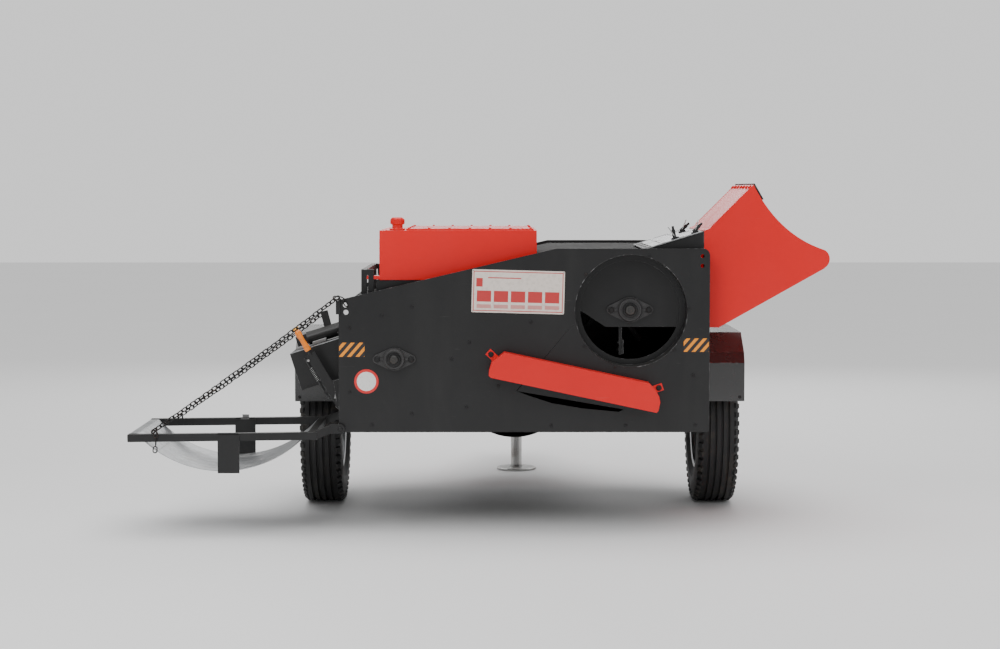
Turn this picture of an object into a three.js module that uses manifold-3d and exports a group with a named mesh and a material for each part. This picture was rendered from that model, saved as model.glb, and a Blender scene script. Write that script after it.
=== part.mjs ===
// Trailed pumpkin-seed harvester: a sheet-steel threshing body between two road wheels, with a side feed
// hopper, a seed tank on its sloping roof, a folding cradle held by two chains, and a drawbar on a jack.
//
// Frame while building: millimetres, +X right as seen from behind, +Y forward, +Z up, with the zero under
// the middle of the axle at ground level. The last lines move the whole group so that its origin is the
// middle of its bounding box's base.

import * as THREE from "three";
import { mergeVertices } from "three/addons/utils/BufferGeometryUtils.js";
import Module from "manifold-3d";

const wasm = await Module();
wasm.setup();

// ---------------------------------------------------------------------------------------------
// Driving dimensions
// ---------------------------------------------------------------------------------------------

const GAP = 0.3; // between pieces that touch
const DEG = Math.PI / 180;

// Wheels and axle
const TRACK = 1718;
const TYRE_OD = 700;
const TYRE_WIDTH = 180;
const TYRE_WALL = 12;
const RIM_RADIUS = 190;
const RIM_WIDTH = 136; // between the flanges, where the beads sit
const RIM_SHEET = 5;
const DISC_SHEET = 8;
const HUB_LENGTH = 96;
const HUB_RADIUS = 48;
const AXLE_SQUARE = 60;
const AXLE_CLEAR_OF_HUB = 16;
const AXLE_TO_BODY = 31; // from the axle beam's top to the plates' bottom edges
const STUB_RADIUS = 20;
const RUNNING_CLEARANCE = 1.2;

// Body: two end plates with a folded shell between them
const REAR_Y = -924;
const FRONT_Y = 500;
const PLATE_THICKNESS = 6;
const PLATE_LEFT = -733;
const PLATE_RIGHT = 755;
const PLATE_BOTTOM = 411;
const PLATE_TOP = 1148;
const PLATE_SHOULDER = 942; // height of the left corner, where the sloping top edge starts
const SLOPE_END_X = 139; // where the sloping top edge meets the level one
const PLATE_CORNER = 28;
const SHELL_LEFT = -690;
const SHELL_RIGHT = 738;
const SHELL_DROP = 12; // from the plate's top edge to the shell's roof
const SHELL_RISE = 12; // from the plate's bottom edge to the shell's floor
const SHELL_SHEET = 2.5;
const TROUGH_X = -28;
const TROUGH_RADIUS = 240;
const TROUGH_DEPTH = 22; // below the plate's bottom edge

// Rotor and its round opening
const ROTOR_X = 440;
const OPENING_TO_TOP = 26; // from the round opening up to the plate's top edge
const OPENING_RADIUS = 224;
const OPENING_LIP = 24; // width of the ring's seat
const OPENING_DEPTH = 88;
const ROTOR_SHAFT_RADIUS = 20;
const ROTOR_TUBE_RADIUS = 45;
const ROTOR_ARM_REACH = 188;
const ROTOR_ARM_SETS = 5;
const ROTOR_ARM_TURN = 72 * DEG; // from one pair of arms to the next
const ROTOR_ARM = [28, 40]; // from the shaft's middle to the arm's two faces
const ROTOR_ARM_WIDTH = 40;
const SHAFT_BEYOND_SEAT = 44;
const ROTOR_PULLEY_RADIUS = 165;
const ROTOR_PULLEY_WIDTH = 50;
const SIEVE_X = -510;
const SIEVE_Z = 705;
const SIEVE_SHAFT_RADIUS = 17;
const SIEVE_WHEEL_RADIUS = 90;

// Feed side: neck, lid and hopper
const FEED_INSET = 74; // from the rear plate's face to the feed side's near wall
const FEED_FAR_Y = -190;
const NECK_LEFT = 508;
const NECK_SHEET = 3;
const LID_SLOPE = 17.3 * DEG;
const LID_THICKNESS = 3;
const LID_OVERHANG = 5;
const HOPPER_SHEET = 3;
const HOPPER_OVER_MUDGUARD = 59;
const HOPPER_BOTTOM_BEND_X = 797;
const HOPPER_FLOOR_SLOPE = 28.6 * DEG;
const HOPPER_TIP_X = 1204;
const HOPPER_TIP_DROP = 44; // from the plate's top edge
const HOPPER_TIP_RADIUS = 42;
const HOPPER_APEX_X = 936;
const HOPPER_APEX_RISE = 255; // above the plate's top edge
const HOPPER_MOUTH_PULL = [1040, 52]; // the curved mouth bends towards this point
const HOPPER_SHOULDER_X = 760;
const FLAP_LENGTH = 88;
const FLAP_THICKNESS = 6;

// Tank on the roof
const TANK_LEFT = -572;
const TANK_RIGHT = 63;
const TANK_FLOOR_RISE = 51.3; // from the roof at the tank's left side up to its level floor
const TANK_TOP_RISE = 71; // above the plate's top edge
const TANK_INSET = 74; // from the rear plate's face
const TANK_LENGTH = 700;
const TANK_SHEET = 3;
const TANK_COVER_RISE = 7;
const CAP_X = -503;
const CAP_RADIUS = 26;
const CAP_RISE = 52;
const GUARD_TUBE = 23;
const GUARD_LEFT = -646;
const GUARD_RIGHT = -595;
const GUARD_RISE = 112;

// Discharge hood on the rear plate
const HOOD_TILT = -12 * DEG;
const HOOD_X = 208;
const HOOD_Z = 622;
const HOOD_LENGTH = 672;
const HOOD_HEIGHT = 109;
const HOOD_DEPTH = 80;
const HOOD_SHEET = 3;
// The hood's ends, corner by corner: beyond half its length, and up from its floor or down from its top.
const HOOD_RIGHT_LOW = [[12, 0], [18, 9], [18, 44]];
const HOOD_RIGHT_HIGH = [[9, 44], [-9, 23], [-39, 0]];
const HOOD_LEFT_HIGH = [[-41, 0], [-22, 25], [0, 47]];
const HOOD_LEFT_LOW = [[3, 24], [0, 6], [-10, 0]];
const HOOD_EAR_WIDTH = 30;
const HOOD_EAR_REACH = [17, 40]; // from the screw outwards, and inwards under the hood's end
const HOOD_EAR_LEAN = 31 * DEG;
const HOOD_EARS = [[8, 31], [7, 39]]; // left and right screw: beyond half the length, above the middle
const SLOT = [[-226, -46], [-182, -63], [-85, -95], [37, -116], [184, -130], [203, -120]]; // from the hood's middle

// Left side: chute, cross tube, lever, cradle
const CHUTE_TILT = 17.5 * DEG;
const CHUTE_TIP_X = -946;
const CHUTE_TIP_Z = 712;
const CHUTE_HEIGHT = 157;
const CHUTE_INSET = 174; // from the rear plate's face
const CHUTE_TO_CRADLE = 35; // from the chute's far side to the far bar's middle
const CHUTE_SHEET = 3;
const SIDE_TUBE_RADIUS = 28;
const SIDE_TUBE_END_X = -884;
const SIDE_TUBE_FROM_FAR = 140; // from the chute's far side
const SIDE_TUBE_CLEAR = 4; // between the cross tube and the chute's roof, where the saddle goes
const SADDLE_X = [-862, -804];
const CHAIN_POST_FOOT = [-799, 812];
const CHAIN_POST_TOP = [-817, 880];
const LEVER_X = -734;
const LEVER_Z = 522;
const LEVER_INSET = 64; // from the rear plate's face
const LEVER_LEAN = 30.6 * DEG;
const LEVER_LENGTH = 252;
const LEVER_WIDTH = 38;
const LEVER_THICKNESS = 8;
const GRIP_LENGTH = 108;
const GRIP_RADIUS = 13;
const PIN_RADIUS = 8;
const CRADLE_HINGE_X = -726;
const CRADLE_HINGE_RISE = 15; // heights from the plate's bottom edge
const CRADLE_TUBE = 30;
const CRADLE_WALL = 3;
const CRADLE_TIP_X = -1567;
const CRADLE_TIP_RISE = -15;
const CRADLE_ROOT_X = -815;
const CRADLE_ROOT_RISE = -6;
const CRADLE_BEHIND = 76; // from the rear plate's face back to the near bar's middle
const CRADLE_TO_MUDGUARD = 27; // from the far bar's middle to the mudguard's flap
const CRADLE_CROSS_INSET = 8; // from the bars' root ends to the inner cross tube
const CRADLE_SAG = 148;
const CRADLE_SHEET = 3;
const CRADLE_PLATE_X = -1166;
const CRADLE_PLATE_WIDTH = 86;
const CRADLE_PLATE_DROP = 154;
const EYE_THICKNESS = 12;
const EYE_RADIUS = 18;
const CHAIN_RADIUS = 5;
const CHAIN_NEAR_FOOT_X = -1463;
const CHAIN_FAR_FOOT_X = -1445;
const CHAIN_FAR_TOP = [-832, 12, 862]; // X, forward of the cross tube's middle, Z
const CHAIN_DIP = 6;

// Mudguards
const MUDGUARD_OVERLAP = 20; // wider than the tyre
const MUDGUARD_SHEET = 3;
const MUDGUARD_CLEAR_BEHIND = 58; // from the tyre's tread to the flap
const MUDGUARD_CLEAR_ABOVE = 68;
const MUDGUARD_FLAP = 164; // length of the straight flap
const MUDGUARD_BEND = 122; // from the top down to where the flap starts
const MUDGUARD_KNEE = [24, 78]; // in from the flap, down from the top
const MUDGUARD_BROW = 145; // in from the flap to the level top

// Drawbar, jack and drive
const LEG_WIDTH = 60;
const LEG_HEIGHT = 70;
const LEG_WALL = 6;
const LEG_DROP = 11; // from the plates' bottom edges to the legs' tops
const LEG_REAR_X = 420;
const LEG_FRONT_X = 72;
const LEG_FRONT_Y = 1420;
const TONGUE_WIDTH = 80;
const TONGUE_REAR_Y = 1250;
const SHANK_HALF = 28;
const CROSS_X = [-620, 680];
const CROSS_Y = [-70, -10]; // from the front plate's face
const CROSS_UNDER_HALF = 300;
const CROSS_TIE_X = [-292, 240];
const CROSS_TIE_WIDTH = 12;
const HITCH_Y = 1630;
const HITCH_RADIUS = 50;
const HITCH_BORE = 25;
const HITCH_THICKNESS = 32;
const JACK_Y = 1010;
const JACK_RADIUS = 35;
const JACK_LEG_RADIUS = 27;
const JACK_ABOVE_LEG = 160;
const JACK_BELOW_LEG = 190;
const JACK_FOOT_RADIUS = 97;
const JACK_FOOT_THICKNESS = 12;
const DRIVE_GUARD_MARGIN = 38; // round the pulleys
const DRIVE_GUARD_DEPTH = 100;
const DRIVE_GUARD_SHEET = 3;
const GEARBOX_WIDTH = 190;
const GEARBOX_LENGTH = 200;
const GEARBOX_Z = 650;
const GEARBOX_HEIGHT = 200;
const PTO_RADIUS = 17.5;
const PTO_LENGTH = 95;

// ---------------------------------------------------------------------------------------------
// Solids
// ---------------------------------------------------------------------------------------------

// A closed geometry as a solid that can be joined and cut.
function solidOf(geometry) {
  const bare = geometry.index ? geometry.toNonIndexed() : geometry.clone();
  bare.deleteAttribute("normal");
  bare.deleteAttribute("uv");
  const merged = mergeVertices(bare, 1e-3);
  const vertProperties = merged.attributes.position.array;
  const triVerts = new Uint32Array(merged.index.array);
  return new wasm.Manifold(new wasm.Mesh({ numProp: 3, vertProperties, triVerts }));
}

function geometryOf(solid) {
  const { vertProperties, triVerts } = solid.getMesh();
  const geometry = new THREE.BufferGeometry();
  geometry.setAttribute("position", new THREE.BufferAttribute(new Float32Array(vertProperties), 3));
  geometry.setIndex(new THREE.BufferAttribute(new Uint32Array(triVerts), 1));
  const flat = geometry.toNonIndexed();
  flat.computeVertexNormals();
  return flat;
}

function fuse(...geometries) {
  return geometryOf(geometries.map(solidOf).reduce((whole, piece) => whole.add(piece)));
}

function cut(body, ...tools) {
  return geometryOf(tools.map(solidOf).reduce((rest, tool) => rest.subtract(tool), solidOf(body)));
}

function overlap(first, second) {
  return geometryOf(solidOf(first).intersect(solidOf(second)));
}

function block([x0, x1], [y0, y1], [z0, z1]) {
  const geometry = new THREE.BoxGeometry(x1 - x0, y1 - y0, z1 - z0);
  return geometry.translate((x0 + x1) / 2, (y0 + y1) / 2, (z0 + z1) / 2);
}

// An outline drawn in X and Z, as thick as the given stretch of Y.
function alongY(shape, [y0, y1], curveSegments = 12) {
  const settings = { depth: y1 - y0, bevelEnabled: false, curveSegments };
  return new THREE.ExtrudeGeometry(shape, settings).rotateX(Math.PI / 2).translate(0, y1, 0);
}

// An outline drawn in Y and Z, as thick as the given stretch of X.
function alongX(shape, [x0, x1], curveSegments = 12) {
  const settings = { depth: x1 - x0, bevelEnabled: false, curveSegments };
  const turn = new THREE.Matrix4().makeBasis(
    new THREE.Vector3(0, 1, 0),
    new THREE.Vector3(0, 0, 1),
    new THREE.Vector3(1, 0, 0),
  );
  return new THREE.ExtrudeGeometry(shape, settings).applyMatrix4(turn).translate(x0, 0, 0);
}

function polygon(points) {
  return new THREE.Shape(points.map(([u, v]) => new THREE.Vector2(u, v)));
}

function circlePath(u, v, radius) {
  return new THREE.Path().absarc(u, v, radius, 0, 2 * Math.PI);
}

function roundRodY(x, z, radius, [y0, y1], sides = 24) {
  const rod = new THREE.CylinderGeometry(radius, radius, y1 - y0, sides);
  return rod.translate(x, (y0 + y1) / 2, z);
}

function roundRodX(y, z, radius, [x0, x1], sides = 24) {
  const rod = new THREE.CylinderGeometry(radius, radius, x1 - x0, sides);
  return rod.rotateZ(-Math.PI / 2).translate((x0 + x1) / 2, y, z);
}

function roundRodZ(x, y, radius, [z0, z1], sides = 24) {
  const rod = new THREE.CylinderGeometry(radius, radius, z1 - z0, sides);
  return rod.rotateX(Math.PI / 2).translate(x, y, (z0 + z1) / 2);
}

// A straight member from one point to another, its width level and its height square to both.
function member(from, to, width, height) {
  const start = new THREE.Vector3(...from);
  const run = new THREE.Vector3(...to).sub(start);
  const along = run.clone().normalize();
  const up = new THREE.Vector3(0, 0, 1);
  const across = new THREE.Vector3().crossVectors(along, up).normalize();
  const rise = new THREE.Vector3().crossVectors(across, along);
  const place = new THREE.Matrix4().makeBasis(across, along, rise);
  place.setPosition(start.addScaledVector(run, 0.5));
  return new THREE.BoxGeometry(width, run.length(), height).applyMatrix4(place);
}

// The same member as an open-ended box section.
function boxTube(from, to, width, height, wall) {
  const start = new THREE.Vector3(...from);
  const finish = new THREE.Vector3(...to);
  const along = finish.clone().sub(start).normalize();
  const low = start.clone().addScaledVector(along, -wall).toArray();
  const high = finish.clone().addScaledVector(along, wall).toArray();
  return cut(member(from, to, width, height), member(low, high, width - 2 * wall, height - 2 * wall));
}

function roundBar(from, to, radius, sides = 16) {
  const start = new THREE.Vector3(...from);
  const run = new THREE.Vector3(...to).sub(start);
  const turn = new THREE.Quaternion().setFromUnitVectors(new THREE.Vector3(0, 1, 0), run.clone().normalize());
  const place = new THREE.Matrix4().makeRotationFromQuaternion(turn);
  place.setPosition(start.addScaledVector(run, 0.5));
  return new THREE.CylinderGeometry(radius, radius, run.length(), sides).applyMatrix4(place);
}

// A closed radius and height profile turned about an axis along Y or X.
function turned(profile, segments) {
  return new THREE.LatheGeometry(profile.map(([r, h]) => new THREE.Vector2(r, h)), segments);
}

// A polygon moved inwards by a sheet's thickness, corner by corner; its points run anticlockwise.
function inset(points, distance) {
  const count = points.length;
  const lines = points.map((point, i) => {
    const next = points[(i + 1) % count];
    const run = new THREE.Vector2(next[0] - point[0], next[1] - point[1]).normalize();
    return { at: new THREE.Vector2(point[0] - run.y * distance, point[1] + run.x * distance), run };
  });
  return lines.map((line, i) => {
    const before = lines[(i + count - 1) % count];
    const between = line.at.clone().sub(before.at);
    const step = between.cross(line.run) / before.run.cross(line.run);
    const corner = before.at.clone().addScaledVector(before.run, step);
    return [corner.x, corner.y];
  });
}

// ---------------------------------------------------------------------------------------------
// Paints and the group
// ---------------------------------------------------------------------------------------------

function paint(color, roughness, metalness) {
  return new THREE.MeshStandardMaterial({ color, roughness, metalness });
}

const RED = paint(0xd6322d, 0.4, 0.1);
const BLACK = paint(0x2a2a2b, 0.45, 0.1);
const CAST = paint(0x2d2d2e, 0.6, 0.3);
const GALVANISED = paint(0xb9bcbe, 0.45, 0.8);
const BRIGHT_STEEL = paint(0x9a9c9e, 0.35, 0.9);
const RUBBER = paint(0x18181a, 0.85, 0);
const ORANGE = paint(0xf0821e, 0.5, 0);

const machine = new THREE.Group();
const upper = new THREE.Group(); // what the axle carries, in heights that hold for the standard tyre
machine.add(upper);

function add(name, geometry, material, group = upper) {
  const mesh = new THREE.Mesh(geometry, material);
  mesh.name = name;
  group.add(mesh);
}

// ---------------------------------------------------------------------------------------------
// Values worked out from the driving dimensions
// ---------------------------------------------------------------------------------------------

const WHEEL_X = TRACK / 2;
const AXLE_Z = TYRE_OD / 2;
const BODY_LIFT = AXLE_Z + AXLE_SQUARE / 2 + AXLE_TO_BODY - PLATE_BOTTOM;
const OPENING_SEAT_RADIUS = OPENING_RADIUS - OPENING_LIP;
const ROTOR_Z = PLATE_TOP - OPENING_TO_TOP - OPENING_RADIUS;
const HOPPER_TIP_Z = PLATE_TOP - HOPPER_TIP_DROP;
const HOPPER_APEX_Z = PLATE_TOP + HOPPER_APEX_RISE;
const MUDGUARD_WIDTH = TYRE_WIDTH + MUDGUARD_OVERLAP;
const MUDGUARD_REACH = TYRE_OD / 2 + MUDGUARD_CLEAR_BEHIND;
const MUDGUARD_TOP = TYRE_OD + MUDGUARD_CLEAR_ABOVE;
const MUDGUARD_HEM = MUDGUARD_TOP - MUDGUARD_BEND - MUDGUARD_FLAP;
const HOPPER_BOTTOM_Z = MUDGUARD_TOP + HOPPER_OVER_MUDGUARD - BODY_LIFT;
const CRADLE_FAR_Y = -MUDGUARD_REACH - CRADLE_TO_MUDGUARD;
const CHUTE_FAR_Y = CRADLE_FAR_Y - CHUTE_TO_CRADLE;
const FEED_NEAR_Y = REAR_Y + FEED_INSET;
const TANK_REAR_Y = REAR_Y + TANK_INSET;
const CHUTE_NEAR_Y = REAR_Y + CHUTE_INSET;
const SIDE_TUBE_Y = CHUTE_FAR_Y - SIDE_TUBE_FROM_FAR;
const LEVER_Y = REAR_Y + LEVER_INSET;
const CRADLE_NEAR_Y = REAR_Y - CRADLE_BEHIND;
const CRADLE_HINGE_Z = PLATE_BOTTOM + CRADLE_HINGE_RISE;
const CRADLE_TIP_Z = PLATE_BOTTOM + CRADLE_TIP_RISE;
const CRADLE_ROOT_Z = PLATE_BOTTOM + CRADLE_ROOT_RISE;
const CRADLE_PLATE_BOTTOM = PLATE_BOTTOM - CRADLE_PLATE_DROP;
const LEG_TOP = PLATE_BOTTOM - LEG_DROP;
const JACK_TOP = LEG_TOP + JACK_ABOVE_LEG;
const JACK_TUBE_BOTTOM = LEG_TOP - JACK_BELOW_LEG;
const ROOF_RISE = (PLATE_TOP - PLATE_SHOULDER) / (SLOPE_END_X - PLATE_LEFT);
const SHELL_Y = [REAR_Y + PLATE_THICKNESS + GAP, FRONT_Y - PLATE_THICKNESS - GAP];
const SHELL_FLOOR = PLATE_BOTTOM + SHELL_RISE;
const SHELL_ROOF = PLATE_TOP - SHELL_DROP;
const TROUGH_Z = PLATE_BOTTOM - TROUGH_DEPTH + TROUGH_RADIUS;

// Height of the shell's sloping roof above a point, before it meets the level roof.
function roofAt(x) {
  const onPlate = PLATE_SHOULDER + (x - PLATE_LEFT) * ROOF_RISE;
  return onPlate - SHELL_DROP * Math.hypot(1, ROOF_RISE);
}

const TANK_BOTTOM = roofAt(TANK_LEFT) + TANK_FLOOR_RISE;
const TANK_TOP = PLATE_TOP + TANK_TOP_RISE;
const GUARD_TOP = roofAt(GUARD_LEFT) + GUARD_RISE;

// Height of the lid's underside.
function lidAt(x) {
  return SHELL_ROOF + 8 + (x - NECK_LEFT) * Math.tan(LID_SLOPE);
}

// Height of the chute's roof.
function chuteRoofAt(x) {
  return CHUTE_TIP_Z + (x - CHUTE_TIP_X) * Math.tan(CHUTE_TILT);
}

// ---------------------------------------------------------------------------------------------
// Body
// ---------------------------------------------------------------------------------------------

function plateOutline() {
  const shape = new THREE.Shape();
  shape.moveTo(PLATE_LEFT, PLATE_BOTTOM);
  shape.lineTo(PLATE_RIGHT, PLATE_BOTTOM);
  shape.lineTo(PLATE_RIGHT, PLATE_TOP - PLATE_CORNER);
  shape.absarc(PLATE_RIGHT - PLATE_CORNER, PLATE_TOP - PLATE_CORNER, PLATE_CORNER, 0, Math.PI / 2);
  shape.lineTo(SLOPE_END_X, PLATE_TOP);
  shape.lineTo(PLATE_LEFT, PLATE_SHOULDER);
  return shape;
}

function shellOutline(sheet) {
  const left = SHELL_LEFT + sheet;
  const right = SHELL_RIGHT - sheet;
  const floor = SHELL_FLOOR + sheet;
  const roof = SHELL_ROOF - sheet;
  const slopeDrop = sheet * Math.hypot(1, ROOF_RISE);
  const slopeEnd = left + (roof - (roofAt(left) - slopeDrop)) / ROOF_RISE;
  const radius = TROUGH_RADIUS - sheet;
  const drop = floor - TROUGH_Z;
  const half = Math.sqrt(radius ** 2 - drop ** 2);
  const shape = new THREE.Shape();
  shape.moveTo(left, floor);
  shape.lineTo(TROUGH_X - half, floor);
  shape.absarc(TROUGH_X, TROUGH_Z, radius, Math.atan2(drop, -half), Math.atan2(drop, half));
  shape.lineTo(right, floor);
  shape.lineTo(right, roof);
  shape.lineTo(slopeEnd, roof);
  shape.lineTo(left, roofAt(left) - slopeDrop);
  return shape;
}

function dischargeSlot() {
  const slot = polygon(SLOT.map(([x, z]) => [HOOD_X + x, HOOD_Z + z]));
  return alongY(slot, [REAR_Y - 1, REAR_Y + PLATE_THICKNESS + 1]);
}

function rearPlate() {
  const shape = plateOutline();
  const holes = [
    [ROTOR_X, ROTOR_Z, OPENING_RADIUS],
    [SIEVE_X, SIEVE_Z, SIEVE_SHAFT_RADIUS + 6],
    [PLATE_LEFT + 28, PLATE_SHOULDER - 20, 10],
    [PLATE_LEFT + 30, PLATE_SHOULDER - 49, 10],
    [PLATE_RIGHT - 30, PLATE_TOP - 30, 8],
    [PLATE_RIGHT - 30, PLATE_TOP - 69, 8],
  ];
  shape.holes = holes.map(([x, z, radius]) => circlePath(x, z, radius));
  const sheet = alongY(shape, [REAR_Y, REAR_Y + PLATE_THICKNESS], 15);
  const chainTab = block(
    [PLATE_LEFT - 10, PLATE_LEFT + 8],
    [REAR_Y - 6, REAR_Y + 1],
    [PLATE_SHOULDER - 57, PLATE_SHOULDER - 2],
  );
  const cradlePin = roundRodY(CRADLE_HINGE_X, CRADLE_HINGE_Z, PIN_RADIUS, [REAR_Y - 32, REAR_Y + 1]);
  return cut(fuse(sheet, chainTab, cradlePin), dischargeSlot());
}

function frontPlate() {
  const shape = plateOutline();
  const holes = [
    [ROTOR_X, ROTOR_Z, ROTOR_SHAFT_RADIUS + 6],
    [SIEVE_X, SIEVE_Z, SIEVE_SHAFT_RADIUS + 6],
  ];
  shape.holes = holes.map(([x, z, radius]) => circlePath(x, z, radius));
  return alongY(shape, [FRONT_Y - PLATE_THICKNESS, FRONT_Y]);
}

function bodyShell() {
  const shape = shellOutline(0);
  shape.holes = [new THREE.Path(shellOutline(SHELL_SHEET).getPoints(16))];
  const skin = alongY(shape, SHELL_Y, 16);
  const throatY = [FEED_NEAR_Y + NECK_SHEET, FEED_FAR_Y - NECK_SHEET];
  const throat = block([NECK_LEFT + 4, SHELL_RIGHT + 1], throatY, [HOPPER_BOTTOM_Z + 8, SHELL_ROOF + 1]);
  const chuteY = [CHUTE_NEAR_Y + CHUTE_SHEET, CHUTE_FAR_Y - CHUTE_SHEET];
  const chuteRoof = chuteRoofAt(SHELL_LEFT);
  const chuteFloor = chuteRoof - CHUTE_HEIGHT / Math.cos(CHUTE_TILT);
  const chuteMouth = block([SHELL_LEFT - 1, SHELL_LEFT + 10], chuteY, [chuteFloor + 12, chuteRoof - 12]);
  return cut(skin, throat, chuteMouth);
}

function openingRing() {
  const front = SHELL_Y[0];
  const seat = REAR_Y + OPENING_DEPTH;
  const wall = 4;
  const ring = turned(
    [
      [OPENING_RADIUS, front],
      [OPENING_RADIUS + wall, front],
      [OPENING_RADIUS + wall, seat + wall],
      [OPENING_SEAT_RADIUS, seat + wall],
      [OPENING_SEAT_RADIUS, seat],
      [OPENING_RADIUS, seat],
      [OPENING_RADIUS, front],
    ],
    36,
  );
  return ring.translate(ROTOR_X, 0, ROTOR_Z);
}

const SEAT_FACE_Y = REAR_Y + OPENING_DEPTH + 4 + GAP; // rear face of the rotor's carrier plate

function carrierPlate() {
  const edge = polygon([
    [ROTOR_X - 98, ROTOR_Z - 70],
    [ROTOR_X + 240, ROTOR_Z - 70],
    [ROTOR_X + 240, ROTOR_Z + 240],
    [ROTOR_X - 240, ROTOR_Z + 240],
    [ROTOR_X - 240, ROTOR_Z + 36],
  ]);
  const span = [SEAT_FACE_Y, SEAT_FACE_Y + 5];
  const disc = roundRodY(ROTOR_X, ROTOR_Z, OPENING_RADIUS + 4, span, 48);
  const shaftHole = roundRodY(ROTOR_X, ROTOR_Z, ROTOR_SHAFT_RADIUS + 6, [span[0] - 1, span[1] + 1]);
  return cut(overlap(alongY(edge, span), disc), shaftHole);
}

// A two-bolt flange bearing whose base lies on a face that looks rearwards.
function flangeBearing(x, z, faceY, reach, housing, shaftRadius) {
  const endRadius = 18;
  const arm = reach - endRadius;
  const tangent = Math.acos((housing - endRadius) / arm);
  const shape = new THREE.Shape();
  shape.absarc(0, 0, housing, tangent, Math.PI - tangent);
  shape.absarc(-arm, 0, endRadius, Math.PI - tangent, Math.PI + tangent);
  shape.absarc(0, 0, housing, Math.PI + tangent, 2 * Math.PI - tangent);
  shape.absarc(arm, 0, endRadius, -tangent, tangent);
  const base = alongY(shape, [faceY - GAP - 14, faceY - GAP], 8).translate(x, 0, z);
  const drum = roundRodY(x, z, housing - 3, [faceY - 34, faceY - 10], 32);
  const bore = roundRodY(x, z, shaftRadius + RUNNING_CLEARANCE, [faceY - 40, faceY + 1]);
  return cut(fuse(base, drum), bore);
}

// A square tab under the hood's end, by the place of its screw in the hood's own frame.
function hoodEar(side, x, z, face) {
  const [outwards, inwards] = HOOD_EAR_REACH;
  const half = HOOD_EAR_WIDTH / 2;
  const tab = block([-inwards, outwards], [face - HOOD_SHEET, face], [-half, half]);
  const turn = side > 0 ? -HOOD_EAR_LEAN : Math.PI + HOOD_EAR_LEAN;
  return tab.rotateY(turn).translate(x, 0, z);
}

function dischargeHood() {
  const half = HOOD_LENGTH / 2;
  const rise = HOOD_HEIGHT / 2;
  const outer = [
    ...HOOD_RIGHT_LOW.map(([beyond, up]) => [half + beyond, -rise + up]),
    ...HOOD_RIGHT_HIGH.map(([beyond, down]) => [half + beyond, rise - down]),
    ...HOOD_LEFT_HIGH.map(([beyond, down]) => [-half - beyond, rise - down]),
    ...HOOD_LEFT_LOW.map(([beyond, up]) => [-half - beyond, -rise + up]),
  ];
  const inner = inset(outer, HOOD_SHEET);
  const last = inner.length - 1;
  const below = -rise - 20;
  const open = [[inner[0][0], below], ...inner.slice(0, last + 1), [inner[last][0], below]];
  const face = REAR_Y - GAP;
  const skin = cut(
    alongY(polygon(outer), [face - HOOD_DEPTH, face]),
    alongY(polygon(open), [face - HOOD_DEPTH + HOOD_SHEET, face + 1]),
  );
  const hollow = alongY(polygon(inner), [face - HOOD_DEPTH + HOOD_SHEET, face + 1]);
  const ears = HOOD_EARS.map(([beyond, up], i) => {
    const side = i === 0 ? -1 : 1;
    return cut(hoodEar(side, side * (half + beyond), up, face), hollow);
  });
  return fuse(skin, ...ears).rotateY(-HOOD_TILT).translate(HOOD_X, 0, HOOD_Z);
}

function buildBody() {
  add("rear_plate", rearPlate(), BLACK);
  add("front_plate", frontPlate(), BLACK);
  add("body_shell", bodyShell(), BLACK);
  add("opening_ring", openingRing(), BLACK);
  add("carrier_plate", carrierPlate(), BLACK);
  add("rotor_bearing", flangeBearing(ROTOR_X, ROTOR_Z, SEAT_FACE_Y, 94, 52, ROTOR_SHAFT_RADIUS), CAST);
  add("sieve_bearing", flangeBearing(SIEVE_X, SIEVE_Z, REAR_Y, 86, 46, SIEVE_SHAFT_RADIUS), CAST);
  add("discharge_hood", dischargeHood(), RED);
}

// ---------------------------------------------------------------------------------------------
// Rotor and sieve shaft
// ---------------------------------------------------------------------------------------------

function rotor() {
  const rearEnd = SEAT_FACE_Y - SHAFT_BEYOND_SEAT;
  const tubeY = [SEAT_FACE_Y + 40, FRONT_Y - 60];
  const shaft = roundRodY(0, 0, ROTOR_SHAFT_RADIUS, [rearEnd, FRONT_Y + DRIVE_GUARD_DEPTH - 20]);
  const tube = roundRodY(0, 0, ROTOR_TUBE_RADIUS, tubeY);
  const pitch = (tubeY[1] - tubeY[0] - 80) / (ROTOR_ARM_SETS - 1);
  const arms = Array.from({ length: ROTOR_ARM_SETS }, (_, i) => {
    const y = tubeY[0] + 20 + i * pitch;
    const [inside, outside] = ROTOR_ARM;
    const span = [y, y + ROTOR_ARM_WIDTH];
    const pair = fuse(
      block([-outside, -inside], span, [-ROTOR_ARM_REACH, 0]),
      block([inside, outside], span, [0, ROTOR_ARM_REACH]),
    );
    return pair.rotateY(i * ROTOR_ARM_TURN);
  });
  const pulleyY = [FRONT_Y + 20, FRONT_Y + 20 + ROTOR_PULLEY_WIDTH];
  const pulley = roundRodY(0, 0, ROTOR_PULLEY_RADIUS, pulleyY, 40);
  return fuse(shaft, tube, ...arms, pulley).translate(ROTOR_X, 0, ROTOR_Z);
}

function sieveShaft() {
  const shaft = roundRodY(0, 0, SIEVE_SHAFT_RADIUS, [REAR_Y - SHAFT_BEYOND_SEAT, FRONT_Y + DRIVE_GUARD_DEPTH - 30]);
  const wheel = roundRodY(0, 0, SIEVE_WHEEL_RADIUS, [FRONT_Y + 20, FRONT_Y + 50], 32);
  return fuse(shaft, wheel).translate(SIEVE_X, 0, SIEVE_Z);
}

// ---------------------------------------------------------------------------------------------
// Feed side
// ---------------------------------------------------------------------------------------------

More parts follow.
